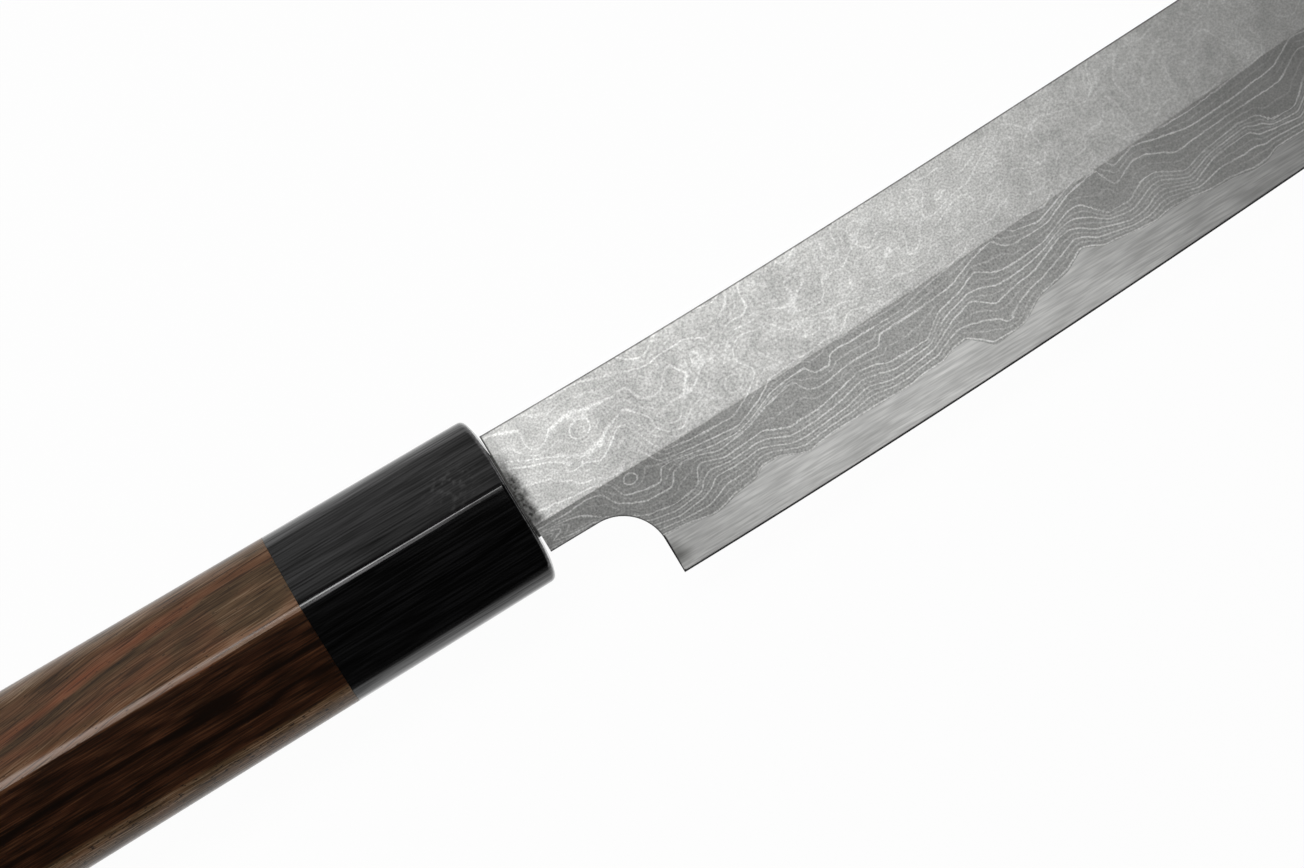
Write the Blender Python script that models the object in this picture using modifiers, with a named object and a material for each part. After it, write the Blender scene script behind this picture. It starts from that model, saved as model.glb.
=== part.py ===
"""Takohiki: a long single-bevelled slicing knife with a square tip and a two-wood handle.

Metres, +Z up. The origin is the centre of the handle's flat butt face. +X runs along the handle to
the blade's tip, +Y towards the spine, and +Z out of the face that carries the bevel.

The blade is forged from two steels. Its outline and its ground cross-section are worked out from a
few sizes, and one blank is then parted along the weld into the soft cladding, which keeps the neck
and the tang, and the hard core steel, which is the back of the blade and its cutting edge. The tang
runs through the ferrule and the dowel into the grip, where cast resin beds it.
"""
import math

import bmesh
import bpy
from mathutils import Matrix

# Handle
HANDLE_LENGTH = 0.1450
FERRULE_LENGTH = 0.0322
HANDLE_HEIGHT_BUTT = 0.0285
HANDLE_HEIGHT_FRONT = 0.0250
HANDLE_THICKNESS_BUTT = 0.0232
HANDLE_THICKNESS_FRONT = 0.0204
RIDGE_ABOVE_AXIS = 0.0018
RIDGE_WIDTH = 0.0009
BUTT_ROUNDING = 0.0016
FERRULE_ROUNDING = 0.0012

# Joinery hidden in the handle
DOWEL_IN_FERRULE = 0.0240
DOWEL_IN_GRIP = 0.0260
DOWEL_WALL = 0.0012
BEDDING_WALL = 0.0010
BEDDING_PAST_TANG = 0.0030
FIT_GAP = 0.0003

# Tang
TANG_LENGTH = 0.1000
TANG_HEIGHT_MOUTH = 0.0120
TANG_HEIGHT_END = 0.0060
TANG_ABOVE_AXIS = 0.0005
TANG_THICKNESS_END = 0.0022

# Blade outline
BLADE_LENGTH = 0.2700
SHOULDER_GAP = 0.0004
NECK_BELOW_AXIS = 0.0090
HEEL_SETBACK = 0.0145
CHOIL_RADIUS = 0.0066
HEEL_HEIGHT = 0.0300
SPINE_ABOVE_AXIS = 0.0092
TIP_LEAN = 0.0030
TIP_ROUNDING = 0.0050

# Slow upward sweep of the spine and of the edge: where each starts, how it settles, its last slope
SPINE_SWEEP_START = 0.0220
SPINE_SWEEP_SETTLING = 0.0440
SPINE_SWEEP_SLOPE = 0.0340
EDGE_SWEEP_START = 0.0050
EDGE_SWEEP_SETTLING = 0.1100
EDGE_SWEEP_SLOPE = 0.0750

# Blade cross-section
BLADE_THICKNESS_NECK = 0.0034
BLADE_THICKNESS_TIP = 0.0022
BEVEL_WIDTH = 0.0159
EDGE_BEVEL_WIDTH = 0.00040
EDGE_BEVEL_THICKNESS = 0.00025
CORE_THICKNESS = 0.0012
CORE_SETBACK = 0.0060
WELD_GAP = 0.0001
HOLLOW_DEPTH = 0.00035
HOLLOW_RIM = 0.0016
HOLLOW_START = 0.0120
HOLLOW_RUN_OUT = 0.0200

# Section shape of the handle: how thick the oval of the sides is, as a share of the half thickness,
# where the flats of the front end on it, as a share of the half height, and how square the back is
OVAL_SHARE = 0.85
FLAT_SHARE = 0.815
BACK_SQUARENESS = 2.3

# How finely round stretches are divided; with an odd number of steps round the back, a narrow flat
# lies in its middle, on which the knife comes to rest
SIDE_STEPS = 6
BACK_STEPS = 15
BORE_SIDES = 32
ARC_STEPS = 8
BLADE_STATIONS = 30
HOLLOW_STEPS = 6
ROUNDING_SEGMENTS = 3

# Reach of a cutter past what it cuts
OVERSHOOT = 0.0020

# Places that follow from the sizes
FERRULE_BACK = HANDLE_LENGTH - FERRULE_LENGTH
SHOULDER = HANDLE_LENGTH + SHOULDER_GAP
HEEL = HANDLE_LENGTH + HEEL_SETBACK
TIP = HANDLE_LENGTH + BLADE_LENGTH
TANG_END = HANDLE_LENGTH - TANG_LENGTH
DOWEL_FRONT = FERRULE_BACK + DOWEL_IN_FERRULE
DOWEL_REAR = FERRULE_BACK - DOWEL_IN_GRIP
BEDDING_FRONT = DOWEL_REAR - FIT_GAP
BEDDING_REAR = TANG_END - BEDDING_PAST_TANG
BLADE_BACK = -BLADE_THICKNESS_NECK / 2
WELD_PLANE = BLADE_BACK + CORE_THICKNESS

COLLECTION_NAME = "takohiki_knife"
CUTTER_COLLECTION_NAME = "cutters"


def clear_scene():
    """Removes every object, and the collections left from an earlier run."""
    for old_object in list(bpy.data.objects):
        bpy.data.objects.remove(old_object, do_unlink=True)
    for name in (COLLECTION_NAME, CUTTER_COLLECTION_NAME):
        old_collection = bpy.data.collections.get(name)
        if old_collection:
            bpy.data.collections.remove(old_collection)


def new_collection(name):
    """Makes a collection in the scene."""
    collection = bpy.data.collections.new(name)
    bpy.context.scene.collection.children.link(collection)
    return collection


def material(name, colour, roughness, metallic):
    """Makes a Principled BSDF material of one colour."""
    made = bpy.data.materials.new(name)
    made.use_nodes = True
    shader = made.node_tree.nodes["Principled BSDF"]
    shader.inputs["Base Color"].default_value = (*colour, 1.0)
    shader.inputs["Roughness"].default_value = roughness
    shader.inputs["Metallic"].default_value = metallic
    made.diffuse_color = (*colour, 1.0)
    return made


def tang_half_height(x):
    """Half the tang's height at x, which tapers evenly from the handle's mouth to its end."""
    along = (HANDLE_LENGTH - x) / TANG_LENGTH
    return (TANG_HEIGHT_MOUTH + (TANG_HEIGHT_END - TANG_HEIGHT_MOUTH) * along) / 2


def sweep(x, start, settling, slope):
    """Height gained by a line that is level at start and bends until it climbs at slope."""
    return slope * settling * math.log(math.cosh((x - HANDLE_LENGTH - start) / settling))


def spine_height(x):
    """Y of the spine at x."""
    return SPINE_ABOVE_AXIS + sweep(x, SPINE_SWEEP_START, SPINE_SWEEP_SETTLING, SPINE_SWEEP_SLOPE)


def edge_height(x):
    """Y of the cutting edge at x, set so that the blade has its full height at the heel."""
    at_heel = spine_height(HEEL) - HEEL_HEIGHT
    rise = sweep(x, EDGE_SWEEP_START, EDGE_SWEEP_SETTLING, EDGE_SWEEP_SLOPE)
    rise_at_heel = sweep(HEEL, EDGE_SWEEP_START, EDGE_SWEEP_SETTLING, EDGE_SWEEP_SLOPE)
    return at_heel + rise - rise_at_heel


def blade_thickness(x):
    """Thickness at x: it falls evenly from the handle to the tip, and again along the tang."""
    if x < HANDLE_LENGTH:
        along = (HANDLE_LENGTH - x) / TANG_LENGTH
        return BLADE_THICKNESS_NECK + (TANG_THICKNESS_END - BLADE_THICKNESS_NECK) * along
    along = (x - HANDLE_LENGTH) / BLADE_LENGTH
    return BLADE_THICKNESS_NECK + (BLADE_THICKNESS_TIP - BLADE_THICKNESS_NECK) * along


def smooth_step(value):
    """0 below 0, 1 above 1, and a smooth S between them."""
    held = min(max(value, 0.0), 1.0)
    return held * held * (3 - 2 * held)


def hollow_depth(x):
    """Depth of the hollow ground in the blade's back at x, which runs out at both ends."""
    from_start = (x - HANDLE_LENGTH - HOLLOW_START) / HOLLOW_RUN_OUT
    from_tip = (TIP - HOLLOW_RIM - x) / HOLLOW_RUN_OUT
    return HOLLOW_DEPTH * smooth_step(from_start) * smooth_step(from_tip)


def blade_ring(x):
    """One ground cross-section of the blade at x, with stock left above the spine line."""
    outline_x = max(x, HANDLE_LENGTH)
    edge = edge_height(outline_x)
    spine = spine_height(outline_x)
    front = BLADE_BACK + blade_thickness(x)
    points = [
        (spine + OVERSHOOT, BLADE_BACK),
        (spine + OVERSHOOT, front),
        (edge + BEVEL_WIDTH, front),
        (edge + EDGE_BEVEL_WIDTH, BLADE_BACK + EDGE_BEVEL_THICKNESS),
        (edge, BLADE_BACK),
    ]
    low = edge + HOLLOW_RIM
    high = spine - HOLLOW_RIM
    for step in range(HOLLOW_STEPS + 1):
        share = step / HOLLOW_STEPS
        bowl = 4 * share * (1 - share)
        points.append((low + (high - low) * share, BLADE_BACK + hollow_depth(x) * bowl))
    return [(x, y, z) for y, z in points]


def handle_ring(x):
    """The handle's D section at x: an oval with two flats planed on its front, and a squarer back.

    The flats meet in a ridge, where a narrow level strip is left, and each ends on the oval in a low
    arris. The back is a squared-off oval (1 - q^n)^(1/n), with q the share of the half height.
    """
    along = x / HANDLE_LENGTH
    half_height = (HANDLE_HEIGHT_BUTT + (HANDLE_HEIGHT_FRONT - HANDLE_HEIGHT_BUTT) * along) / 2
    half_thick = (HANDLE_THICKNESS_BUTT + (HANDLE_THICKNESS_FRONT - HANDLE_THICKNESS_BUTT) * along) / 2
    points = [(x, RIDGE_ABOVE_AXIS, half_thick), (x, RIDGE_ABOVE_AXIS + RIDGE_WIDTH, half_thick)]
    arris = math.asin(FLAT_SHARE)
    sides = []
    for step in range(SIDE_STEPS):
        angle = arris + (math.pi / 2 - arris) * step / SIDE_STEPS
        sides.append((half_height * math.sin(angle), half_thick * OVAL_SHARE * math.cos(angle)))
    points += [(x, y, z) for y, z in sides]
    for step in range(BACK_STEPS + 1):
        q = math.cos(math.pi * step / BACK_STEPS)
        z = -half_thick * (1 - abs(q) ** BACK_SQUARENESS) ** (1 / BACK_SQUARENESS)
        points.append((x, half_height * q, z))
    points += [(x, -y, z) for y, z in reversed(sides)]
    return points


def loft(name, rings, rounded_ring=None):
    """Makes a closed mesh through rings of points, with a flat cap at each end.

    The edges of one ring can be marked for a Bevel modifier to round.
    """
    shape = bmesh.new()
    weight = shape.edges.layers.float.new("bevel_weight_edge")
    placed = [[shape.verts.new(point) for point in ring] for ring in rings]
    count = len(rings[0])
    for near, far in zip(placed, placed[1:]):
        for index in range(count):
            after = (index + 1) % count
            shape.faces.new((near[index], near[after], far[after], far[index]))
    shape.faces.new(placed[0])
    shape.faces.new(placed[-1])
    if rounded_ring is not None:
        ring = placed[rounded_ring]
        for index in range(count):
            edge = shape.edges.get((ring[index], ring[(index + 1) % count]))
            edge[weight] = 1.0
    bmesh.ops.recalc_face_normals(shape, faces=shape.faces)
    mesh = bpy.data.meshes.new(name)
    shape.to_mesh(mesh)
    shape.free()
    return mesh


def finish(mesh, colours):
    """Gives a mesh its material and shades its round stretches smooth."""
    mesh.materials.append(colours)
    mesh.shade_smooth()
    mesh.set_sharp_from_angle(angle=math.radians(25))


def add_part(name, mesh, collection):
    """Adds a named sub-part to the model."""
    part = bpy.data.objects.new(name, mesh)
    collection.objects.link(part)
    return part


def add_cutter(name, mesh, collection):
    """Adds a cutter, which is hidden from renders and drawn as wire."""
    cutter = bpy.data.objects.new(name, mesh)
    cutter.hide_render = True
    cutter.display_type = "WIRE"
    collection.objects.link(cutter)
    return cutter


def boolean(part, cutter, operation):
    """Adds an exact Boolean to a part."""
    modifier = part.modifiers.new(f"{operation.lower()} {cutter.name}", "BOOLEAN")
    modifier.operation = operation
    modifier.solver = "EXACT"
    modifier.object = cutter


def round_edges(part, width):
    """Rounds the marked edges of a part."""
    modifier = part.modifiers.new("rounding", "BEVEL")
    modifier.limit_method = "WEIGHT"
    modifier.width = width
    modifier.segments = ROUNDING_SEGMENTS


def bar_mesh(name, radius, x_low, x_high):
    """A round bar along X."""
    place = Matrix.Translation(((x_low + x_high) / 2, 0.0, 0.0)) @ Matrix.Rotation(math.pi / 2, 4, "Y")
    shape = bmesh.new()
    bmesh.ops.create_cone(shape, cap_ends=True, segments=BORE_SIDES, radius1=radius, radius2=radius,
                          depth=x_high - x_low, matrix=place)
    mesh = bpy.data.meshes.new(name)
    shape.to_mesh(mesh)
    shape.free()
    return mesh


def prism_mesh(name, outline, z_low, z_high):
    """A flat outline in the XY plane given a thickness: a filled 2D curve, made a mesh and welded."""
    curve = bpy.data.curves.new(f"{name} outline", "CURVE")
    curve.dimensions = "2D"
    curve.fill_mode = "BOTH"
    curve.extrude = (z_high - z_low) / 2
    spline = curve.splines.new("POLY")
    spline.points.add(len(outline) - 1)
    for point, (x, y) in zip(spline.points, outline):
        point.co = (x, y, 0.0, 1.0)
    spline.use_cyclic_u = True
    drawn = bpy.data.objects.new(f"{name} outline", curve)
    bpy.context.scene.collection.objects.link(drawn)
    depsgraph = bpy.context.evaluated_depsgraph_get()
    mesh = bpy.data.meshes.new_from_object(drawn.evaluated_get(depsgraph))
    bpy.data.objects.remove(drawn, do_unlink=True)
    mesh.name = name
    shape = bmesh.new()
    shape.from_mesh(mesh)
    bmesh.ops.remove_doubles(shape, verts=shape.verts, dist=1e-6)
    bmesh.ops.translate(shape, verts=shape.verts, vec=(0.0, 0.0, (z_low + z_high) / 2))
    bmesh.ops.recalc_face_normals(shape, faces=shape.faces)
    shape.to_mesh(mesh)
    shape.free()
    return mesh


def box_mesh(name, low, high):
    """A box between two corners."""
    shape = bmesh.new()
    bmesh.ops.create_cube(shape, size=1.0)
    for vertex in shape.verts:
        vertex.co = [lo + (hi - lo) * (place + 0.5) for place, lo, hi in zip(vertex.co, low, high)]
    mesh = bpy.data.meshes.new(name)
    shape.to_mesh(mesh)
    shape.free()
    return mesh


def arc(centre, radius, start, end):
    """Points along an arc in the XY plane, from one angle to another in degrees."""
    points = []
    for step in range(ARC_STEPS + 1):
        angle = math.radians(start + (end - start) * step / ARC_STEPS)
        points.append((centre[0] + radius * math.cos(angle), centre[1] + radius * math.sin(angle)))
    return points


def tip_corner():
    """The rounded corner between the spine and the leaning end face, from spine to end face.

    The corner's centre lies one radius under the spine and one radius inside the end face.
    """
    spine_slope = SPINE_SWEEP_SLOPE * math.tanh((BLADE_LENGTH - SPINE_SWEEP_START) / SPINE_SWEEP_SETTLING)
    spine_angle = math.atan(spine_slope)
    blade_height = spine_height(TIP) - edge_height(TIP)
    lean_angle = math.atan(TIP_LEAN / blade_height)
    edge_y = edge_height(TIP)
    centre_x = TIP - TIP_LEAN - TIP_ROUNDING
    for _ in range(ARC_STEPS):
        centre_y = spine_height(centre_x) - TIP_ROUNDING / math.cos(spine_angle)
        end_face_x = TIP - (centre_y - edge_y) * math.tan(lean_angle)
        centre_x = end_face_x - TIP_ROUNDING / math.cos(lean_angle)
    start = 90 + math.degrees(spine_angle)
    end = math.degrees(lean_angle)
    return arc((centre_x, centre_y), TIP_ROUNDING, start, end)


def blade_outline():
    """The smith's template: tang, spine, tip, heel, choil and neck, with room left under the edge."""
    tang_top = TANG_ABOVE_AXIS + tang_half_height(SHOULDER)
    tang_bottom = TANG_ABOVE_AXIS - tang_half_height(SHOULDER)
    corner = tip_corner()
    spine_run = corner[0][0] - SHOULDER
    spine = []
    for step in range(BLADE_STATIONS):
        x = SHOULDER + spine_run * step / BLADE_STATIONS
        spine.append((x, spine_height(x)))
    lean = TIP_LEAN / (spine_height(TIP) - edge_height(TIP))
    under_edge = edge_height(HEEL) - OVERSHOOT
    end_face_foot = (TIP + (edge_height(TIP) - under_edge) * lean, under_edge)
    choil_centre = (HEEL - CHOIL_RADIUS, -NECK_BELOW_AXIS - CHOIL_RADIUS)
    return [
        (TANG_END, TANG_ABOVE_AXIS + TANG_HEIGHT_END / 2),
        (SHOULDER, tang_top),
        *spine,
        *corner,
        end_face_foot,
        (HEEL, under_edge),
        *arc(choil_centre, CHOIL_RADIUS, 0, 90),
        (SHOULDER, -NECK_BELOW_AXIS),
        (SHOULDER, tang_bottom),
        (TANG_END, TANG_ABOVE_AXIS - TANG_HEIGHT_END / 2),
    ]


def blade_stations():
    """The places along the blade where its cross-section is drawn."""
    low = TANG_END - OVERSHOOT
    high = TIP + 2 * OVERSHOOT
    stations = [low]
    for step in range(BLADE_STATIONS + 1):
        stations.append(HANDLE_LENGTH + (high - HANDLE_LENGTH) * step / BLADE_STATIONS)
    return stations


def tang_room(cutters):
    """The tang's own shape, larger by the fit gap all round: it cuts every piece the tang enters."""
    mouth = HANDLE_LENGTH + OVERSHOOT
    end = TANG_END - FIT_GAP
    mouth_half = tang_half_height(mouth) + FIT_GAP
    end_half = tang_half_height(end) + FIT_GAP
    outline = [
        (end, TANG_ABOVE_AXIS - end_half),
        (mouth, TANG_ABOVE_AXIS - mouth_half),
        (mouth, TANG_ABOVE_AXIS + mouth_half),
        (end, TANG_ABOVE_AXIS + end_half),
    ]
    top = BLADE_THICKNESS_NECK / 2 + FIT_GAP
    return add_cutter("tang room", prism_mesh("tang room", outline, -top, top), cutters)


def dowel_radius():
    """The dowel keeps its wall over and under the tang where the tang enters it."""
    return TANG_ABOVE_AXIS + tang_half_height(DOWEL_FRONT) + FIT_GAP + DOWEL_WALL


def bedding_radius():
    """The bedding keeps its wall round the tang's corners at its front end."""
    half_height = TANG_ABOVE_AXIS + tang_half_height(BEDDING_FRONT) + FIT_GAP
    half_thick = BLADE_THICKNESS_NECK / 2 + FIT_GAP
    return math.hypot(half_height, half_thick) + BEDDING_WALL


def make_blade(parts, cutters):
    """Grinds one blank, cuts it to the template and parts it along the weld."""
    blank = loft("blade blank", [blade_ring(x) for x in blade_stations()])
    height = 2 * BLADE_THICKNESS_NECK
    template_mesh = prism_mesh("blade template", blade_outline(), -height, height)
    template = add_cutter("blade template", template_mesh, cutters)
    core_start = HANDLE_LENGTH + CORE_SETBACK
    low = (core_start + WELD_GAP, -HEEL_HEIGHT, -height)
    high = (TIP + 3 * OVERSHOOT, HEEL_HEIGHT, WELD_PLANE - WELD_GAP / 2)
    core_room = add_cutter("core steel room", box_mesh("core steel room", low, high), cutters)
    low = (core_start, -HEEL_HEIGHT - OVERSHOOT, -height - OVERSHOOT)
    high = (TIP + 4 * OVERSHOOT, HEEL_HEIGHT + OVERSHOOT, WELD_PLANE + WELD_GAP / 2)
    cladding_cut = add_cutter("cladding cut", box_mesh("cladding cut", low, high), cutters)

    cladding_mesh = blank
    core_mesh = blank.copy()
    finish(cladding_mesh, material("layered_iron", (0.42, 0.42, 0.42), 0.45, 1.0))
    finish(core_mesh, material("core_steel", (0.50, 0.50, 0.50), 0.30, 1.0))
    cladding = add_part("blade_cladding", cladding_mesh, parts)
    boolean(cladding, template, "INTERSECT")
    boolean(cladding, cladding_cut, "DIFFERENCE")
    core = add_part("blade_core_steel", core_mesh, parts)
    boolean(core, template, "INTERSECT")
    boolean(core, core_room, "INTERSECT")


def make_ferrule(parts, cutters, room):
    """The collar: slotted in front for the tang, and bored from behind for the dowel."""
    rings = [handle_ring(FERRULE_BACK + FIT_GAP), handle_ring(HANDLE_LENGTH)]
    mesh = loft("ferrule", rings, rounded_ring=1)
    finish(mesh, material("black_wood", (0.012, 0.012, 0.013), 0.30, 0.0))
    ferrule = add_part("ferrule", mesh, parts)
    round_edges(ferrule, FERRULE_ROUNDING)
    bore_mesh = bar_mesh("ferrule bore", dowel_radius() + FIT_GAP, FERRULE_BACK - OVERSHOOT,
                         DOWEL_FRONT + FIT_GAP)
    boolean(ferrule, add_cutter("ferrule bore", bore_mesh, cutters), "DIFFERENCE")
    boolean(ferrule, room, "DIFFERENCE")


def make_grip(parts, cutters):
    """The grip: bored for the dowel, and further in for the resin that beds the tang."""
    mesh = loft("handle_grip", [handle_ring(0.0), handle_ring(FERRULE_BACK)], rounded_ring=0)
    finish(mesh, material("rosewood", (0.060, 0.024, 0.014), 0.38, 0.0))
    grip = add_part("handle_grip", mesh, parts)
    round_edges(grip, BUTT_ROUNDING)
    bore_mesh = bar_mesh("grip bore", dowel_radius() + FIT_GAP, DOWEL_REAR - FIT_GAP,
                         FERRULE_BACK + OVERSHOOT)
    boolean(grip, add_cutter("grip bore", bore_mesh, cutters), "DIFFERENCE")
    deep_mesh = bar_mesh("bedding bore", bedding_radius() + FIT_GAP, BEDDING_REAR - FIT_GAP,
                         DOWEL_REAR + OVERSHOOT)
    boolean(grip, add_cutter("bedding bore", deep_mesh, cutters), "DIFFERENCE")


def make_dowel(parts, room):
    """The round pin that joins ferrule and grip, with a slot for the tang."""
    mesh = bar_mesh("joint_dowel", dowel_radius(), DOWEL_REAR, DOWEL_FRONT)
    finish(mesh, material("dowel_wood", (0.42, 0.28, 0.15), 0.60, 0.0))
    dowel = add_part("joint_dowel", mesh, parts)
    boolean(dowel, room, "DIFFERENCE")


def make_bedding(parts, room):
    """Resin cast round the rear of the tang."""
    mesh = bar_mesh("tang_bedding", bedding_radius(), BEDDING_REAR, BEDDING_FRONT)
    finish(mesh, material("resin", (0.30, 0.22, 0.10), 0.45, 0.0))
    bedding = add_part("tang_bedding", mesh, parts)
    boolean(bedding, room, "DIFFERENCE")


def main():
    """Builds the knife."""
    clear_scene()
    parts = new_collection(COLLECTION_NAME)
    cutters = new_collection(CUTTER_COLLECTION_NAME)
    room = tang_room(cutters)
    make_blade(parts, cutters)
    make_ferrule(parts, cutters, room)
    make_grip(parts, cutters)
    make_dowel(parts, room)
    make_bedding(parts, room)


main()
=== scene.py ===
"""Looks of the takohiki knife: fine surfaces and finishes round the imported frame.

Metres, in the frame's own axes: the origin is the centre of the handle's butt face, +X runs along the
handle to the blade's tip, +Y towards the spine and +Z out of the face that carries the bevel.

The blade is forged from two steels, and the soft one is itself made of many thin layers. Where the
grinding cuts through the weld between the two, and through the layers above it, their edges show as
lines. So one field, the number of the layer that is cut, gives both the wavy line where the two steels
meet and every line in the iron.
"""
import logging
import math
from collections.abc import Iterable
from dataclasses import dataclass, field
from enum import Enum
from functools import partial

import bpy
import numpy as np
from mathutils import Matrix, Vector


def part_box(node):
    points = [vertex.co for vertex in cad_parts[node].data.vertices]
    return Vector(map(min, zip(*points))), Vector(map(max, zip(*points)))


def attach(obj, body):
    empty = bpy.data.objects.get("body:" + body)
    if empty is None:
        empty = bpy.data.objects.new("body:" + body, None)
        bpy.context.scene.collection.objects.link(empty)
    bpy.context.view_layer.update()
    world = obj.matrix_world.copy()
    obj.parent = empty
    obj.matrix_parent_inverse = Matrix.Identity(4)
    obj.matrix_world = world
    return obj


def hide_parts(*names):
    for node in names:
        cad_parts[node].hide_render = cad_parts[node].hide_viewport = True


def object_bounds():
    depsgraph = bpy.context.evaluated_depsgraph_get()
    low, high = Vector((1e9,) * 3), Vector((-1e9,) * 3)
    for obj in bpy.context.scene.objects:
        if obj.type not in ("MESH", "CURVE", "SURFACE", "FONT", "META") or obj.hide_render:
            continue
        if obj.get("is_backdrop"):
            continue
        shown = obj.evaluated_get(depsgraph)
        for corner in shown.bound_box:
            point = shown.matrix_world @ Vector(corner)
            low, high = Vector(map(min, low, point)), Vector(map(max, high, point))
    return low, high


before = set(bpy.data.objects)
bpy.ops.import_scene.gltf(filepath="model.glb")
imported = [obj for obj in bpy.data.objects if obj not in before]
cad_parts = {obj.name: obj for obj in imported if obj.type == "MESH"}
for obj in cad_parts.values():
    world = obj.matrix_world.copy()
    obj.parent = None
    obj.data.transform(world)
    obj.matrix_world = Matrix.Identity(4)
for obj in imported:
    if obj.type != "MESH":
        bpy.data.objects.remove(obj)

MM = 0.001
SAME_PLACE = 1e-7
TINY = 1e-9
FLOOR_GAP = 0.1 * MM
BODY = "root"
log = logging.getLogger("takohiki")


def linear(hex_colour: str) -> tuple[float, float, float, float]:
    """Turns an sRGB hex colour into linear light.

    Args:
        hex_colour: six hex digits, with or without a leading #.

    Returns:
        Red, green, blue and an alpha of 1.
    """
    digits = hex_colour.lstrip("#")
    shares = [int(digits[place:place + 2], 16) / 255 for place in (0, 2, 4)]
    straight = [s / 12.92 if s <= 0.04045 else ((s + 0.055) / 1.055) ** 2.4 for s in shares]
    return (*straight, 1.0)


def smooth_step(values: np.ndarray) -> np.ndarray:
    """0 below 0, 1 above 1 and a smooth S between them: 3v^2 - 2v^3."""
    held = np.clip(values, 0.0, 1.0)
    return held * held * (3 - 2 * held)


def sweep(along: np.ndarray, start: float, settling: float, slope: float) -> np.ndarray:
    """Height of a line that is level at start and bends until it climbs at slope.

    The formula is slope times settling times the log of the hyperbolic cosine of (along - start) / settling.

    Args:
        along: places along the line.
        start: where the line is level.
        settling: the length over which the bend settles.
        slope: the slope that it ends with.

    Returns:
        The heights at the places.
    """
    return slope * settling * np.log(np.cosh((along - start) / settling))


def random_waves(along: np.ndarray, across: np.ndarray, lengths: tuple[float, float], seed: int,
                 count: int = 28) -> np.ndarray:
    """A smooth random field over a plane, as a sum of plane waves.

    Each wave is the cosine of 2 pi times the distance along its heading over its length, plus a phase.
    Lengths, headings and phases are drawn at random, and the sum is divided by the root of half their
    count, which gives the field a spread of about 1.

    Args:
        along: places along the blade or handle, millimetres.
        across: places across it, millimetres.
        lengths: the shortest and the longest wave, millimetres.
        seed: the start of the random draws.
        count: how many waves there are.

    Returns:
        The field at the places.
    """
    draw = np.random.default_rng(seed)
    total = np.zeros(np.broadcast(along, across).shape)
    for length, heading, phase in zip(draw.uniform(*lengths, count), draw.uniform(0, 2 * math.pi, count),
                                      draw.uniform(0, 2 * math.pi, count)):
        travel = along * math.cos(heading) + across * math.sin(heading)
        total = total + np.cos(2 * math.pi * travel / length + phase)
    return total / math.sqrt(count / 2)


class Node(Enum):
    """The kinds of shader node in use."""

    PLACE = "ShaderNodeTexCoord"
    SURFACE = "ShaderNodeNewGeometry"
    PARTS = "ShaderNodeSeparateXYZ"
    JOIN = "ShaderNodeCombineXYZ"
    STRETCH = "ShaderNodeMapping"
    NOISE = "ShaderNodeTexNoise"
    LAYER = "ShaderNodeAttribute"
    MATH = "ShaderNodeMath"
    VECTOR = "ShaderNodeVectorMath"
    RANGE = "ShaderNodeMapRange"
    MIX = "ShaderNodeMix"
    RAMP = "ShaderNodeValToRGB"
    BUMP = "ShaderNodeBump"
    RAY = "ShaderNodeLightPath"
    MATT = "ShaderNodeBsdfDiffuse"
    GLOW = "ShaderNodeEmission"
    MIX_SHADERS = "ShaderNodeMixShader"


SMOOTH = {"interpolation_type": "SMOOTHSTEP"}
COLOURS = {"data_type": "RGBA", "out": 2}
# Most of a noise texture's values lie between these two.
GRAIN_REACH = (0.3, 0.7)


def add_node(tree: bpy.types.NodeTree, kind: Node, inputs: dict | tuple = (), out: int | str = 0,
             **settings) -> bpy.types.NodeSocket:
    """Adds a node with its settings and links.

    Args:
        tree: the node tree that gets the node.
        kind: the kind of node.
        inputs: what the input sockets hold, each a value or an output to link: in order, or by name
            or number.
        out: the output that is wanted, by name or number.
        settings: the node's own properties.

    Returns:
        The wanted output.
    """
    node = tree.nodes.new(kind.value)
    for name, value in settings.items():
        setattr(node, name, value)
    for socket, value in (inputs.items() if isinstance(inputs, dict) else enumerate(inputs)):
        if isinstance(value, bpy.types.NodeSocket):
            tree.links.new(value, node.inputs[socket])
        else:
            node.inputs[socket].default_value = value
    return node.outputs[out]


def weld_points(points: np.ndarray, triangles: np.ndarray) -> tuple[np.ndarray, np.ndarray, np.ndarray]:
    """Joins points that lie on each other and drops the triangles that this closes up.

    Args:
        points: an (n, 3) array of places.
        triangles: an (m, 3) array of point numbers.

    Returns:
        The numbers of the points that are kept, every point's new number, and the renumbered triangles.
    """
    grid = np.round(points / SAME_PLACE).astype(np.int64)
    _, kept, joined = np.unique(grid, axis=0, return_index=True, return_inverse=True)
    joined = joined.reshape(-1)
    one, two, three = joined[triangles].T
    whole = (one != two) & (two != three) & (three != one)
    return kept, joined, joined[triangles][whole]


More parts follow.
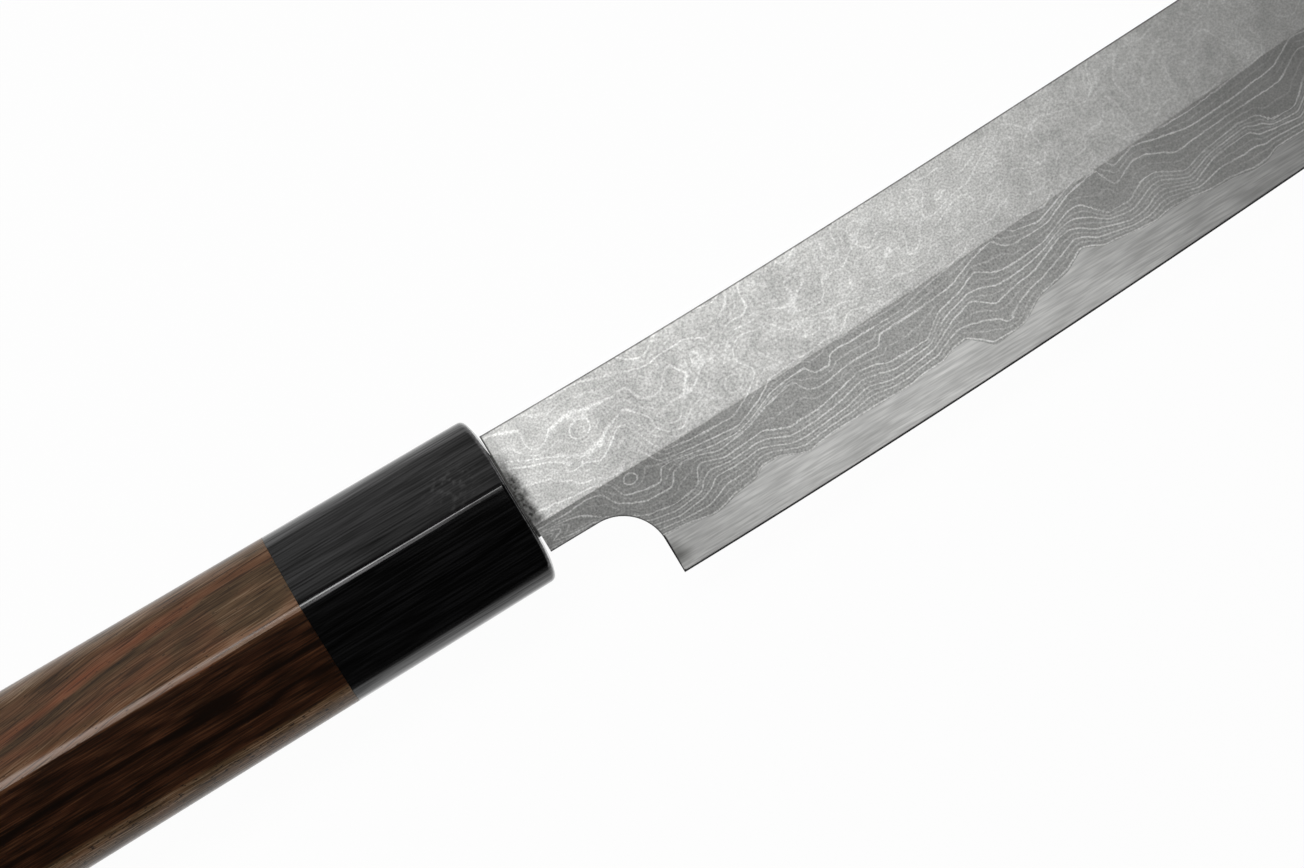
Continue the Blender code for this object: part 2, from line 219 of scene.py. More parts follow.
def loft_mesh(name: str, rings: np.ndarray, closed: bool = False, capped: bool = False,
              layers: dict[str, np.ndarray] | None = None, sharp_degrees: float = 6.0) -> bpy.types.Mesh:
    """Makes a closed mesh through rings of points.

    Points (i, j), (i, j + 1), (i + 1, j + 1) and (i + 1, j) make two triangles for every ring i and
    every place j round it, with the places closed on themselves.

    Args:
        name: the mesh's name.
        rings: an (rings, places, 3) array.
        closed: True where the last ring joins the first, as on a collar.
        capped: True where the first and last ring each get a flat face.
        layers: named values for each point, kept as attributes, each a (rings, places) array.
        sharp_degrees: edges that turn more than this stay sharp.

    Returns:
        The mesh, with normals that point out.
    """
    count, around = rings.shape[:2]
    numbers = np.arange(count * around).reshape(count, around)
    near = numbers if closed else numbers[:-1]
    far = np.roll(numbers, -1, axis=0) if closed else numbers[1:]
    near_next, far_next = np.roll(near, -1, axis=1), np.roll(far, -1, axis=1)
    lower = np.stack((near, far_next, near_next), axis=-1).reshape(-1, 3)
    upper = np.stack((near, far, far_next), axis=-1).reshape(-1, 3)
    points = rings.reshape(-1, 3)
    kept, joined, triangles = weld_points(points, np.concatenate((lower, upper)))
    faces = triangles.tolist()
    if capped:
        for ring, order in ((numbers[0], 1), (numbers[-1], -1)):
            around_cap = joined[ring]
            around_cap = around_cap[around_cap != np.roll(around_cap, 1)]
            faces.append(around_cap[::order].tolist())
    mesh = bpy.data.meshes.new(name)
    mesh.from_pydata(points[kept].tolist(), [], faces)
    mesh.validate()
    for layer, values in (layers or {}).items():
        attribute = mesh.attributes.new(layer, "FLOAT", "POINT")
        attribute.data.foreach_set("value", values.reshape(-1)[kept].astype(np.float32))
    mesh.shade_smooth()
    mesh.set_sharp_from_angle(angle=math.radians(sharp_degrees))
    return mesh


class Slot(Enum):
    """The record's material slots, by name; nothing in this script uses them."""

    LAYERED_IRON = "layered_iron"
    CORE_STEEL = "core_steel"
    BLACK_WOOD = "black_wood"
    ROSEWOOD = "rosewood"


def add_piece(name: str, mesh: bpy.types.Mesh, finish: bpy.types.Material, node: str) -> bpy.types.Object:
    """Puts a finished piece in the scene, where it stands for a CAD node.

    Args:
        name: the piece's name.
        mesh: its mesh, already in place.
        finish: its material.
        node: the CAD node that it replaces.

    Returns:
        The piece's object.
    """
    mesh.materials.append(finish)
    piece = bpy.data.objects.new(name, mesh)
    bpy.context.scene.collection.objects.link(piece)
    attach(piece, BODY)
    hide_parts(node)
    log.info("%s: %d triangles", name, sum(len(p.vertices) - 2 for p in mesh.polygons))
    return piece


@dataclass(frozen=True)
class Swell:
    """One rounded rise left in the layers by a hammer blow.

    It is height * exp(-((x - along) / reach_along)^2 - ((y - up) / reach_up)^2): the height in layers,
    the places in millimetres, along from the ferrule and up from the handle's axis.
    """

    along: float
    up: float
    height: float
    reach_along: float
    reach_up: float


@dataclass(frozen=True)
class Seam:
    """The line along which the grinding cuts one boundary between layers.

    The points are millimetres from the ferrule and millimetres up from the handle's axis. Past the
    last of them the line keeps a steady height over the edge and swings up and down at random.
    """

    number: float
    height: float
    swing: float
    points: tuple[tuple[float, float], ...]


@dataclass(frozen=True)
class BladeShape:
    """The ground shape of the blade, in metres, as the CAD source gives it.

    A sweep holds where it starts, the length over which it settles and its last slope.
    """

    handle_length: float
    length: float
    shoulder_gap: float = 0.4 * MM
    upper_shoulder_gap: float = 0.12 * MM
    root_below_axis: float = 6.5 * MM
    tang_length: float = 100.0 * MM
    tang_height_mouth: float = 12.0 * MM
    tang_height_end: float = 6.0 * MM
    tang_above_axis: float = 0.5 * MM
    tang_thickness_end: float = 2.2 * MM
    neck_below_axis: float = 9.0 * MM
    heel_setback: float = 14.5 * MM
    choil_radius: float = 6.6 * MM
    heel_height: float = 30.0 * MM
    spine_above_axis: float = 9.2 * MM
    spine_sweep: tuple[float, float, float] = (22 * MM, 44 * MM, 0.034)
    edge_sweep: tuple[float, float, float] = (5 * MM, 110 * MM, 0.075)
    tip_lean: float = 3.0 * MM
    tip_rounding: float = 5.0 * MM
    thickness_neck: float = 3.4 * MM
    thickness_tip: float = 2.2 * MM
    bevel_width: float = 15.9 * MM
    edge_bevel_width: float = 0.25 * MM
    edge_bevel_thickness: float = 0.25 * MM
    core_setback: float = 6.0 * MM
    hollow_depth: float = 0.35 * MM
    hollow_rim: float = 1.6 * MM
    hollow_start: float = 12.0 * MM
    hollow_run_out: float = 20.0 * MM
    ridge_softness: float = 0.012 * MM
    ridge_far: float = 60.0

    @property
    def back(self) -> float:
        """Z of the blade's flat back."""
        return -self.thickness_neck / 2

    @property
    def heel(self) -> float:
        """X of the heel."""
        return self.handle_length + self.heel_setback

    @property
    def tip(self) -> float:
        """X of the edge's far end."""
        return self.handle_length + self.length

    @property
    def choil_wall(self) -> float:
        """Y of the choil's centre, where its arc has turned straight down."""
        return -self.neck_below_axis - self.choil_radius

    def spine(self, x: np.ndarray) -> np.ndarray:
        """Y of the spine at x, level over the handle."""
        along = np.maximum(x - self.handle_length, 0.0)
        return self.spine_above_axis + sweep(along, *self.spine_sweep)

    def edge(self, x: np.ndarray) -> np.ndarray:
        """Y of the cutting edge: the spine at the heel less the full height, plus the edge's own sweep.

        Args:
            x: places along the knife.

        Returns:
            The edge's Y there.
        """
        along = np.maximum(x - self.handle_length, 0.0)
        at_heel = self.spine(self.heel) - self.heel_height
        return at_heel + sweep(along, *self.edge_sweep) - sweep(self.heel_setback, *self.edge_sweep)

    def thickness(self, x: np.ndarray) -> np.ndarray:
        """Full thickness: it falls evenly from the handle to the tip, and again along the tang.

        Args:
            x: places along the knife.

        Returns:
            The thickness there.
        """
        ahead = np.clip((x - self.handle_length) / self.length, 0.0, 1.0)
        behind = np.clip((self.handle_length - x) / self.tang_length, 0.0, 1.0)
        at_end = (self.thickness_tip - self.thickness_neck) * ahead
        return self.thickness_neck + at_end + (self.tang_thickness_end - self.thickness_neck) * behind

    def front(self, x: np.ndarray, height: np.ndarray) -> np.ndarray:
        """Z of the ground front.

        It is the lower of the flat and the bevel's slope. Where they meet, the polishing stones have
        softened the ridge, so the lower one is taken as -s log(exp(-a/s) + exp(-b/s)). The gap between
        the two is held at ridge_far softnesses, past which the softening comes to nothing.

        Args:
            x: places along the knife.
            height: heights above the edge line.

        Returns:
            The front's Z there.
        """
        flat = self.back + self.thickness(x)
        low = self.back + self.edge_bevel_thickness
        climb = (height - self.edge_bevel_width) / (self.bevel_width - self.edge_bevel_width)
        bevel = low + (flat - low) * climb
        gap = np.clip(np.abs(flat - bevel) / self.ridge_softness, 0.0, self.ridge_far)
        return np.minimum(flat, bevel) - self.ridge_softness * np.log1p(np.exp(-gap))

    def hollow(self, x: np.ndarray, height: np.ndarray, full: np.ndarray) -> np.ndarray:
        """Depth ground out of the back: a shallow bowl 4s(1 - s) inside the rim, run out at both ends.

        Args:
            x: places along the knife.
            height: heights above the edge line.
            full: the blade's full height there.

        Returns:
            The depths.
        """
        from_start = (x - self.handle_length - self.hollow_start) / self.hollow_run_out
        from_tip = (self.tip - self.hollow_rim - x) / self.hollow_run_out
        share = np.clip((height - self.hollow_rim) / (full - 2 * self.hollow_rim), 0.0, 1.0)
        return self.hollow_depth * smooth_step(from_start) * smooth_step(from_tip) * 4 * share * (1 - share)

    def tang_half_height(self, x: np.ndarray) -> np.ndarray:
        """Half the tang's height at x, which falls evenly to the tang's end."""
        along = (self.handle_length - x) / self.tang_length
        return (self.tang_height_mouth + (self.tang_height_end - self.tang_height_mouth) * along) / 2


@dataclass(frozen=True)
class ForgedLayers:
    """How the layers lie in the forged blade. Lengths are in millimetres, widths in layers.

    The seams are read from bottom to top across the ground face. The first is the weld between the
    core steel and the layered iron. Between two seams the layer's number rises evenly, so a line
    shows wherever it passes a whole number. Past the last point of a seam, its bends are drawn at
    random: the gap from one to the next, the swing that all seams share and the one of its own.
    """

    shape: BladeShape
    layer_thickness: float = 0.20
    line_half_width: float = 0.12
    share_limits: tuple[float, float] = (0.03, 0.42)
    flat_share: float = 0.055
    table_step: float = 0.1
    table_margin: float = 5.0
    smoothing: float = 0.32
    smoothing_reach: float = 2.5
    least_gap: float = 0.30
    random_bends: int = 60
    random_gaps: tuple[float, float] = (2.6, 6.2)
    shared_swing: tuple[float, float] = (0.1, 1.2)
    own_swing: float = 0.5
    bends_seed: int = 8
    loose: float = 0.55
    loose_lengths: tuple[float, float] = (4.5, 15.0)
    loose_fade: float = 1.5
    loose_start: float = 18.0
    loose_run_in: float = 12.0
    loose_least: float = 0.15
    loose_seed: int = 5
    rise_above: float = 0.30
    nudge: float = 0.1
    seams: tuple[Seam, ...] = (
        Seam(-0.16, 5.6, 1.1, (
            (0.0, -14.9), (14.5, -15.0), (18.0, -15.3), (22.0, -16.2), (24.0, -15.9), (26.0, -15.3),
            (29.5, -14.9), (30.7, -13.9), (33.5, -13.9), (36.0, -15.0), (37.5, -15.6), (39.0, -15.2),
            (42.0, -14.9), (54.0, -14.9), (56.0, -14.5), (59.5, -14.4), (61.0, -13.7), (63.5, -13.4),
            (65.3, -14.9), (66.5, -16.2), (71.5, -15.7), (75.0, -13.6), (80.0, -12.7), (83.3, -10.9),
            (86.0, -12.2), (94.0, -13.0), (96.0, -12.6), (100.0, -12.7), (102.0, -13.2), (106.0, -13.3),
            (109.0, -13.9), (111.0, -13.8), (113.0, -12.9), (118.0, -12.8))),
        Seam(2.0, 8.0, 1.0, (
            (0.0, -8.6), (9.0, -9.5), (14.3, -13.2), (18.0, -13.9), (22.0, -13.4), (23.5, -12.9),
            (24.8, -11.8), (28.0, -11.9), (32.0, -11.6), (36.0, -13.3), (38.0, -13.5), (45.0, -12.9),
            (48.5, -12.0), (52.0, -12.9), (54.0, -12.9), (59.0, -12.3), (63.0, -10.3), (66.7, -9.2),
            (69.5, -11.4), (73.0, -10.5), (76.0, -10.2), (81.0, -8.1), (83.0, -7.8), (84.5, -8.4),
            (86.0, -9.6), (91.0, -11.1), (93.5, -10.9), (95.5, -9.9), (97.0, -9.7), (101.0, -11.2),
            (105.0, -9.5), (111.0, -9.0), (111.7, -10.1), (118.0, -10.9))),
        Seam(4.0, 10.6, 1.2, (
            (0.0, -7.5), (6.0, -8.0), (7.5, -7.8), (8.7, -8.7), (14.0, -11.5), (18.0, -12.2),
            (22.4, -11.7), (22.8, -10.0), (23.4, -9.2), (24.5, -9.2), (27.0, -10.2), (33.5, -9.8),
            (36.5, -11.3), (41.0, -11.2), (44.0, -10.7), (48.5, -9.6), (51.0, -9.9), (53.0, -10.8),
            (59.0, -10.75), (62.0, -8.3), (66.0, -7.4), (69.0, -6.0), (71.0, -7.4), (73.0, -8.0),
            (79.0, -7.6), (84.0, -5.6), (86.0, -5.6), (88.5, -8.6), (92.0, -8.8), (95.0, -7.2),
            (97.0, -7.1), (100.5, -9.2), (104.0, -8.2), (110.0, -7.4), (113.0, -7.6), (114.0, -9.3),
            (118.0, -9.4))),
        Seam(5.0, 13.0, 1.5, (
            (0.0, -6.1), (4.0, -6.0), (8.0, -5.4), (10.4, -5.8), (11.2, -8.0), (15.0, -9.8),
            (19.3, -10.0), (19.9, -8.4), (22.0, -7.6), (24.0, -7.9), (27.0, -9.0), (32.0, -8.3),
            (35.0, -7.1), (40.2, -6.0), (40.9, -6.5), (41.1, -8.0), (42.8, -8.7), (49.0, -7.9),
            (53.0, -8.1), (53.5, -6.6), (60.0, -6.5), (65.0, -6.2), (70.0, -4.3), (73.3, -3.5),
            (73.9, -4.7), (75.0, -5.6), (81.0, -5.5), (85.0, -3.7), (90.4, -2.5), (90.9, -5.0),
            (91.8, -5.9), (95.0, -4.2), (97.0, -4.3), (101.0, -6.3), (106.0, -5.8), (111.0, -5.6),
            (118.0, -5.2))),
        Seam(6.0, 15.0, 1.2, (
            (0.0, -3.2), (8.0, -3.6), (12.3, -5.2), (12.5, -7.5), (16.0, -8.5), (18.3, -8.8),
            (18.8, -6.8), (20.5, -6.8), (26.0, -7.9), (30.0, -8.3), (33.0, -7.6), (37.0, -5.9),
            (42.9, -5.2), (43.2, -6.8), (46.1, -6.8), (46.4, -5.4), (58.0, -5.5), (61.0, -4.6),
            (73.0, -2.6), (75.5, -3.1), (76.2, -4.1), (80.0, -4.8), (83.0, -3.8), (88.0, -2.0),
            (91.8, -1.6), (92.4, -3.8), (96.0, -2.5), (104.0, -4.3), (111.0, -4.0), (118.0, -3.2))),
        Seam(7.0, 17.5, 1.4, (
            (0.0, 0.6), (5.0, -0.4), (10.3, -3.3), (12.3, -4.6), (15.0, -4.1), (16.3, -2.8),
            (17.6, -2.4), (18.5, -4.6), (19.2, -6.2), (24.0, -6.8), (31.0, -7.5), (35.0, -6.0),
            (38.0, -4.2), (43.0, -3.4), (47.0, -2.6), (52.0, -3.6), (60.0, -3.4), (66.0, -2.2),
            (77.0, -1.4), (79.0, -3.2), (82.0, -3.4), (85.0, -1.0), (95.0, 0.2), (100.0, -2.4),
            (105.0, -2.5), (118.0, -1.0))),
        Seam(8.0, 21.0, 2.0, (
            (0.0, 4.2), (2.0, 3.4), (5.5, 2.0), (9.5, 0.0), (12.5, -2.0), (14.0, -1.4), (17.0, 1.0),
            (18.0, 0.8), (19.0, -1.8), (20.4, -5.2), (26.0, -5.9), (31.0, -6.2), (34.0, -4.6),
            (39.0, -0.8), (46.0, 0.6), (57.0, -1.0), (61.6, -1.4), (64.0, 2.0), (76.0, 1.4),
            (95.0, 2.6), (118.0, 1.4))),
        Seam(9.0, 25.0, 2.0, (
            (0.0, 5.0), (2.0, 4.2), (5.0, 3.1), (8.0, 1.2), (12.3, -1.1), (13.5, -0.8), (16.0, 1.0),
            (18.7, 2.8), (19.6, 2.6), (20.6, 0.4), (22.2, -2.4), (24.5, -3.4), (27.0, -1.4),
            (33.0, 0.4), (38.0, 2.6), (46.0, 5.4), (59.0, 3.4), (62.0, 6.4), (80.0, 6.8),
            (95.0, 6.0), (118.0, 5.0))),
        Seam(10.0, 29.0, 2.0, (
            (0.0, 8.9), (3.0, 8.2), (6.0, 7.2), (8.5, 6.8), (10.0, 6.1), (13.5, 5.6), (17.0, 5.2),
            (20.0, 4.8), (21.5, 3.2), (23.0, 2.6), (27.0, 2.9), (33.0, 4.4), (38.0, 6.4),
            (46.0, 9.6), (59.0, 8.4), (80.0, 10.6), (95.0, 10.4), (118.0, 10.2))),
    )
    swells: tuple[Swell, ...] = (
        Swell(14.7, -6.35, 0.85, 1.5, 1.0),
        Swell(-1.0, -6.9, -2.6, 5.5, 0.85),
        Swell(12.2, 2.9, 1.15, 1.7, 1.15),
        Swell(6.0, 4.6, 0.7, 1.9, 2.0),
        Swell(8.2, -0.9, 0.62, 1.9, 0.7),
        Swell(7.4, -3.4, 0.55, 2.6, 0.9),
        Swell(25.2, 7.2, 1.2, 3.0, 1.9),
        Swell(28.8, 3.9, 0.9, 1.1, 1.0),
        Swell(23.6, -1.8, 0.8, 2.2, 1.6),
        Swell(37.5, 2.8, -1.1, 2.8, 2.2),
        Swell(45.0, 4.4, 0.9, 2.6, 1.4),
        Swell(47.5, -2.8, 0.7, 3.4, 1.0),
        Swell(57.3, -1.2, 1.0, 1.8, 1.6),
        Swell(60.6, 4.4, -0.8, 1.6, 2.2),
        Swell(70.3, -14.4, 0.45, 1.8, 0.9),
        Swell(71.0, 5.2, 0.9, 3.0, 1.6),
        Swell(81.0, 8.2, 0.8, 2.4, 1.4),
    )

    def tables(self) -> tuple[np.ndarray, np.ndarray]:
        """Heights of the seams above the edge, millimetres, at steps along the blade.

        A seam's points are joined by straight lines, which are then smoothed by a bell curve. A seam
        never comes nearer to the one below it than the least gap.

        Returns:
            The places, and an array of heights with a row for each seam.
        """
        along = np.arange(-self.table_margin, self.shape.length / MM + self.table_margin, self.table_step)
        reach = np.arange(-self.smoothing_reach, self.smoothing_reach + self.table_step / 2, self.table_step)
        bell = np.exp(-0.5 * (reach / self.smoothing) ** 2)
        draw = np.random.default_rng(self.bends_seed)
        gaps = draw.uniform(*self.random_gaps, self.random_bends)
        up_and_down = np.where(np.arange(self.random_bends) % 2 == 0, 1.0, -1.0)
        shared = up_and_down * draw.uniform(*self.shared_swing, len(gaps))
        rows: list[np.ndarray] = []
        for seam in self.seams:
            read = np.array(seam.points)
            own = draw.uniform(-self.own_swing, self.own_swing, len(gaps))
            places = np.concatenate((read[:, 0], read[-1, 0] + np.cumsum(gaps + own)))
            edge = self.shape.edge(self.shape.handle_length + read[:, 0] * MM) / MM
            heights = np.concatenate((read[:, 1] - edge, seam.height + seam.swing * (shared + own)))
            row = np.convolve(np.pad(np.interp(along, places, heights), len(reach) // 2, mode="edge"),
                              bell / bell.sum(), mode="valid")
            rows.append(np.maximum(row, rows[-1] + self.least_gap) if rows else row)
        return along, np.array(rows)

    def weld_height(self, along: np.ndarray) -> np.ndarray:
        """Height of the weld's line above the edge, millimetres, at places along the blade."""
        places, rows = self.tables()
        return np.interp(along, places, rows[0])

    def weld_z(self, x: np.ndarray) -> np.ndarray:
        """Z of the weld at x: where its line lies on the bevel."""
        height = self.weld_height((x - self.shape.handle_length) / MM) * MM
        return self.shape.front(np.maximum(x, self.shape.handle_length), height)

    def number(self, x: np.ndarray, y: np.ndarray) -> np.ndarray:
        """Number of the layer that the ground face cuts at (x, y).

        It is the sum, over the pairs of neighbouring seams, of the share of the way from the lower to
        the upper one times the layers between them, with the hammer swells on top. On the flat, which
        is ground nearly along the layers, random waves are added, and loop the lines into islands.

        Args:
            x: places along the knife, metres.
            y: places across it, metres.

        Returns:
            The layer's number, whole on a line.
        """
        along = np.maximum((x - self.shape.handle_length) / MM, 0.0)
        height = (y - self.shape.edge(x)) / MM
        places, rows = self.tables()
        at = [np.interp(along, places, row) for row in rows]
        total = self.seams[0].number + np.minimum(height - at[0], 0.0)
        for lower, upper, under, over in zip(self.seams, self.seams[1:], at, at[1:]):
            share = np.clip((height - under) / (over - under), 0.0, 1.0)
            total = total + (upper.number - lower.number) * share
        total = total + self.rise_above * np.maximum(height - at[-1], 0.0)
        for s in self.swells:
            total = total + s.height * np.exp(-((along - s.along) / s.reach_along) ** 2
                                              - ((y / MM - s.up) / s.reach_up) ** 2)
        amount = smooth_step((height - self.shape.bevel_width / MM) / self.loose_fade)
        run_in = smooth_step((along - self.loose_start) / self.loose_run_in)
        amount = amount * (self.loose_least + (1 - self.loose_least) * run_in)
        waves = random_waves(along, y / MM, self.loose_lengths, self.loose_seed)
        return total + self.loose * amount * waves

    def line_share(self, x: np.ndarray, y: np.ndarray, flat: np.ndarray) -> np.ndarray:
        """Half the width of a line at (x, y), as a share of a layer.

        On the bevel every line is about as wide, so the share follows the slope. On the flat it is
        held at a least value, so that a line spreads to a patch where the face runs along the layer.

        Args:
            x: places along the knife, metres.
            y: places across it, metres.
            flat: 1 on the flat, 0 on the bevel.

        Returns:
            The shares.
        """
        even = np.clip(self.line_half_width * self.slope(x, y), *self.share_limits)
        return np.maximum(even, self.flat_share * flat)

    def slope(self, x: np.ndarray, y: np.ndarray) -> np.ndarray:
        """How many layers the ground face crosses in a millimetre.

        It is the root of the sum of squares of the number's changes to a place a nudge ahead and to one
        a nudge up, over the nudge.

        Args:
            x: places along the knife, metres.
            y: places across it, metres.

        Returns:
            The slopes.
        """
        step = self.nudge * MM
        here = self.number(x, y)
        return np.hypot(self.number(x + step, y) - here, self.number(x, y + step) - here) / self.nudge


class Bench:
    """Where one material is mixed: its node tree, its shader, and the place on the piece."""

    def __init__(self, name: str, metallic: float, roughness: float) -> None:
        """Starts a material.

        Args:
            name: the material's name.
            metallic: 1 for bare metal, 0 for all else.
            roughness: how far the surface spreads a reflection.
        """
        self.made = bpy.data.materials.new(name)
        self.made.use_nodes = True
        self.shader = self.made.node_tree.nodes["Principled BSDF"]
        self.add = partial(add_node, self.made.node_tree)
        self.place = self.add(Node.PLACE, out="Object")
        self.along, self.across, _ = self.add(Node.PARTS, (self.place,)).node.outputs
        self.give(Metallic=metallic, Roughness=roughness)

    def give(self, **sockets) -> None:
        """Sets or links the shader's sockets.

        Args:
            sockets: a value or an output for each named socket. An underscore stands for a space.
        """
        for name, value in sockets.items():
            socket = self.shader.inputs[name.replace("_", " ")]
            if isinstance(value, bpy.types.NodeSocket):
                self.made.node_tree.links.new(value, socket)
            else:
                socket.default_value = value

    def grain(self, size: float, detail: float = 2.0, longer: float = 1.0, turned_degrees: float = 0.0,
              place: bpy.types.NodeSocket | None = None) -> bpy.types.NodeSocket:
        """Random grain from 0 to 1.

        Args:
            size: how far apart the grains are, in metres.
            detail: how many finer grains lie on each.
            longer: how much longer they are along the knife.
            turned_degrees: how far that direction is turned off the knife's.
            place: where the grain is read, if not at the place on the piece.

        Returns:
            The grain's value.
        """
        place = place or self.place
        if longer != 1.0:
            place = self.add(Node.STRETCH, {"Vector": place, "Scale": (longer, 1.0, 1.0),
                                            "Rotation": (0.0, 0.0, math.radians(turned_degrees))},
                             vector_type="TEXTURE")
        return self.add(Node.NOISE, {"Vector": place, "Scale": 1 / size, "Detail": detail}, "Fac")

    def tinted(self, colour: bpy.types.NodeSocket, *tones: bpy.types.NodeSocket) -> bpy.types.NodeSocket:
        """Makes a colour lighter or darker.

        Args:
            colour: the colour.
            tones: what it is multiplied by, one after the other.

        Returns:
            The new colour.
        """
        for tone in tones:
            colour = self.add(Node.VECTOR, {0: colour, "Scale": tone}, operation="SCALE")
        return colour


@dataclass(frozen=True)
class LayeredIron:
    """Suminagashi cladding: soft iron and a harder steel folded together, blasted and given a light etch.

    The blasting leaves a fine grey grain that spreads the light, and the etch leaves the harder
    layers brighter, so their edges show as thin light lines. At the handle's mouth, where water
    stands and nobody wipes, the iron has oxidised dark, and a thin black line against the collar is
    painted shadow. Places along the knife count from the mouth.
    A family of lines has its offset between whole layers, the length over which its lines come and
    go, and its strength. A thin dark line along the outline and down the walls is painted shade. The
    real dents of the blasting are some 0.05 mm wide, and are drawn coarser, so that they show.
    """

    mouth: float
    iron: str = "BBBBB9"
    light_line: str = "F8F8F6"
    # colour of the oxidised patch at the mouth, and of the painted shadow line against the collar
    oxide_and_shadow: str = "383837"
    # painted shade: colour of the thin dark line along the outline and down the walls
    painted_dark_edge: str = "454544"
    roughness: float = 0.30
    dent_width: float = 0.28 * MM
    dent_depth: float = 0.01 * MM
    cloud_size: float = 5.5 * MM
    patch_size: float = 2.6 * MM
    cloud_tones: tuple[float, float] = (0.92, 1.08)
    patch_tones: tuple[float, float] = (0.88, 1.12)
    bevel_tone: float = 0.95
    # painted shade: width of the dark outline line in mm, and how dark it gets
    dark_edge_mm: tuple[float, float] = (0.08, 0.26)
    dark_edge_share: float = 0.8
    # painted shade: the iron is darkened in a band about 20 mm ahead of the mouth, fading out over 15 mm
    shade_band_at: float = 20 * MM
    shade_band_reach: float = 15 * MM
    shade_band_tone: float = 0.88
    speckle: tuple[float, float] = (1.3, 0.75)
    smoother: tuple[float, float] = (70 * MM, 110 * MM)
    ripple_size: float = 1.3 * MM
    ripple_layers: tuple[float, float] = (0.18, 0.22)
    families: tuple[tuple[float, float, float], ...] = ((0.0, 6 * MM, 1.0), (0.5, 9 * MM, 0.38))
    line_fade: tuple[float, float] = (0.3, 1.5)
    least_drawn: float = 0.4
    faint_on_flat: tuple[float, float] = (0.48, 0.19)
    fainter: tuple[float, float] = (12 * MM, 90 * MM)
    oxide_bays: float = 1.6 * MM
    oxide_wander: float = 3.2 * MM
    oxide_reach: tuple[float, float] = (0.9 * MM, 2.5 * MM)
    oxide_top: tuple[float, float] = (1.5 * MM, 8.2 * MM)
    oxide_above: float = 0.12
    oxide_bottom: tuple[float, float] = (-5.6 * MM, -4.0 * MM)
    oxide_below: float = 0.15
    oxide_mottle: float = 0.6 * MM
    mottle_shares: tuple[float, float] = (1.0, 0.80)
    # painted shadow: reach and strength of the black line just ahead of the mouth
    corner_shadow_reach: tuple[float, float] = (0.22 * MM, 0.5 * MM)
    corner_shadow_share: float = 0.95

    def from_mouth(self, reach: tuple[float, float]) -> tuple[float, float]:
        """Places along the knife from a near and a far distance from the handle's mouth."""
        return self.mouth + reach[0], self.mouth + reach[1]

    def lines(self, bench: Bench) -> bpy.types.NodeSocket:
        """How much of the lighter layer shows: most where the layer's number is whole, less at halves.

        Args:
            bench: where the material is mixed.

        Returns:
            The light colour's share.
        """
        add = bench.add
        flat = add(Node.LAYER, out="Fac", attribute_name="flat")
        bend = add(Node.RANGE, (flat, 0.0, 1.0, *self.ripple_layers))
        ripple = add(Node.MATH, (bench.grain(self.ripple_size), 0.5), operation="SUBTRACT")
        number = add(Node.LAYER, out="Fac", attribute_name="layer")
        number = add(Node.MATH, (ripple, bend, number), operation="MULTIPLY_ADD")
        share = add(Node.LAYER, out="Fac", attribute_name="line_share")
        ahead = add(Node.RANGE, (bench.along, *self.from_mouth(self.fainter), *self.faint_on_flat))
        faint = add(Node.MIX, {0: flat, 2: 1.0, 3: ahead})
        shown = None
        for offset, length, strength in self.families:
            here = add(Node.MATH, (number, offset), operation="ADD")
            nearest = add(Node.MATH, (here,), operation="ROUND")
            away = add(Node.MATH, (here, nearest), operation="SUBTRACT")
            away = add(Node.MATH, (away,), operation="ABSOLUTE")
            away = add(Node.MATH, (away, share), operation="DIVIDE")
            line = add(Node.RANGE, (away, *self.line_fade, 1.0, 0.0), **SMOOTH)
            least = self.least_drawn * strength
            drawn = add(Node.RANGE, (bench.grain(length, 1.0), 0.3, 0.6, least, strength), **SMOOTH)
            line = add(Node.MATH, (line, drawn), operation="MULTIPLY")
            shown = add(Node.MATH, (line, shown), operation="MAXIMUM") if shown else line
        return add(Node.MATH, (shown, faint), operation="MULTIPLY")

    def oxide_and_corner_shadow(self, bench: Bench) -> bpy.types.NodeSocket:
        """How much dark shows: a mottled oxidised patch in front of the handle, and a painted shadow line in
        the corner against the collar.

        Args:
            bench: where the material is mixed.

        Returns:
            The share of the oxidised patch and the painted shadow.
        """
        add = bench.add
        wander = add(Node.MATH, (bench.grain(self.oxide_bays, 3.0), 0.5), operation="SUBTRACT")
        ahead = add(Node.MATH, (wander, self.oxide_wander, bench.along), operation="MULTIPLY_ADD")
        patch = add(Node.RANGE, (ahead, *self.from_mouth(self.oxide_reach), 1.0, 0.0), **SMOOTH)
        upper = add(Node.RANGE, (bench.across, *self.oxide_top, 1.0, self.oxide_above), **SMOOTH)
        lower = add(Node.RANGE, (bench.across, *self.oxide_bottom, self.oxide_below, 1.0), **SMOOTH)
        mottle = bench.grain(self.oxide_mottle, 4.0)
        mottle = add(Node.RANGE, (mottle, 0.36, 0.60, *self.mottle_shares), **SMOOTH)
        for share in (upper, lower, mottle):
            patch = add(Node.MATH, (patch, share), operation="MULTIPLY")
        # painted shadow: a black line just ahead of the mouth, where the blade meets the collar
        corner = (bench.along, *self.from_mouth(self.corner_shadow_reach), self.corner_shadow_share, 0.0)
        corner = add(Node.RANGE, corner, **SMOOTH)
        return add(Node.MATH, (patch, corner), operation="MAXIMUM")

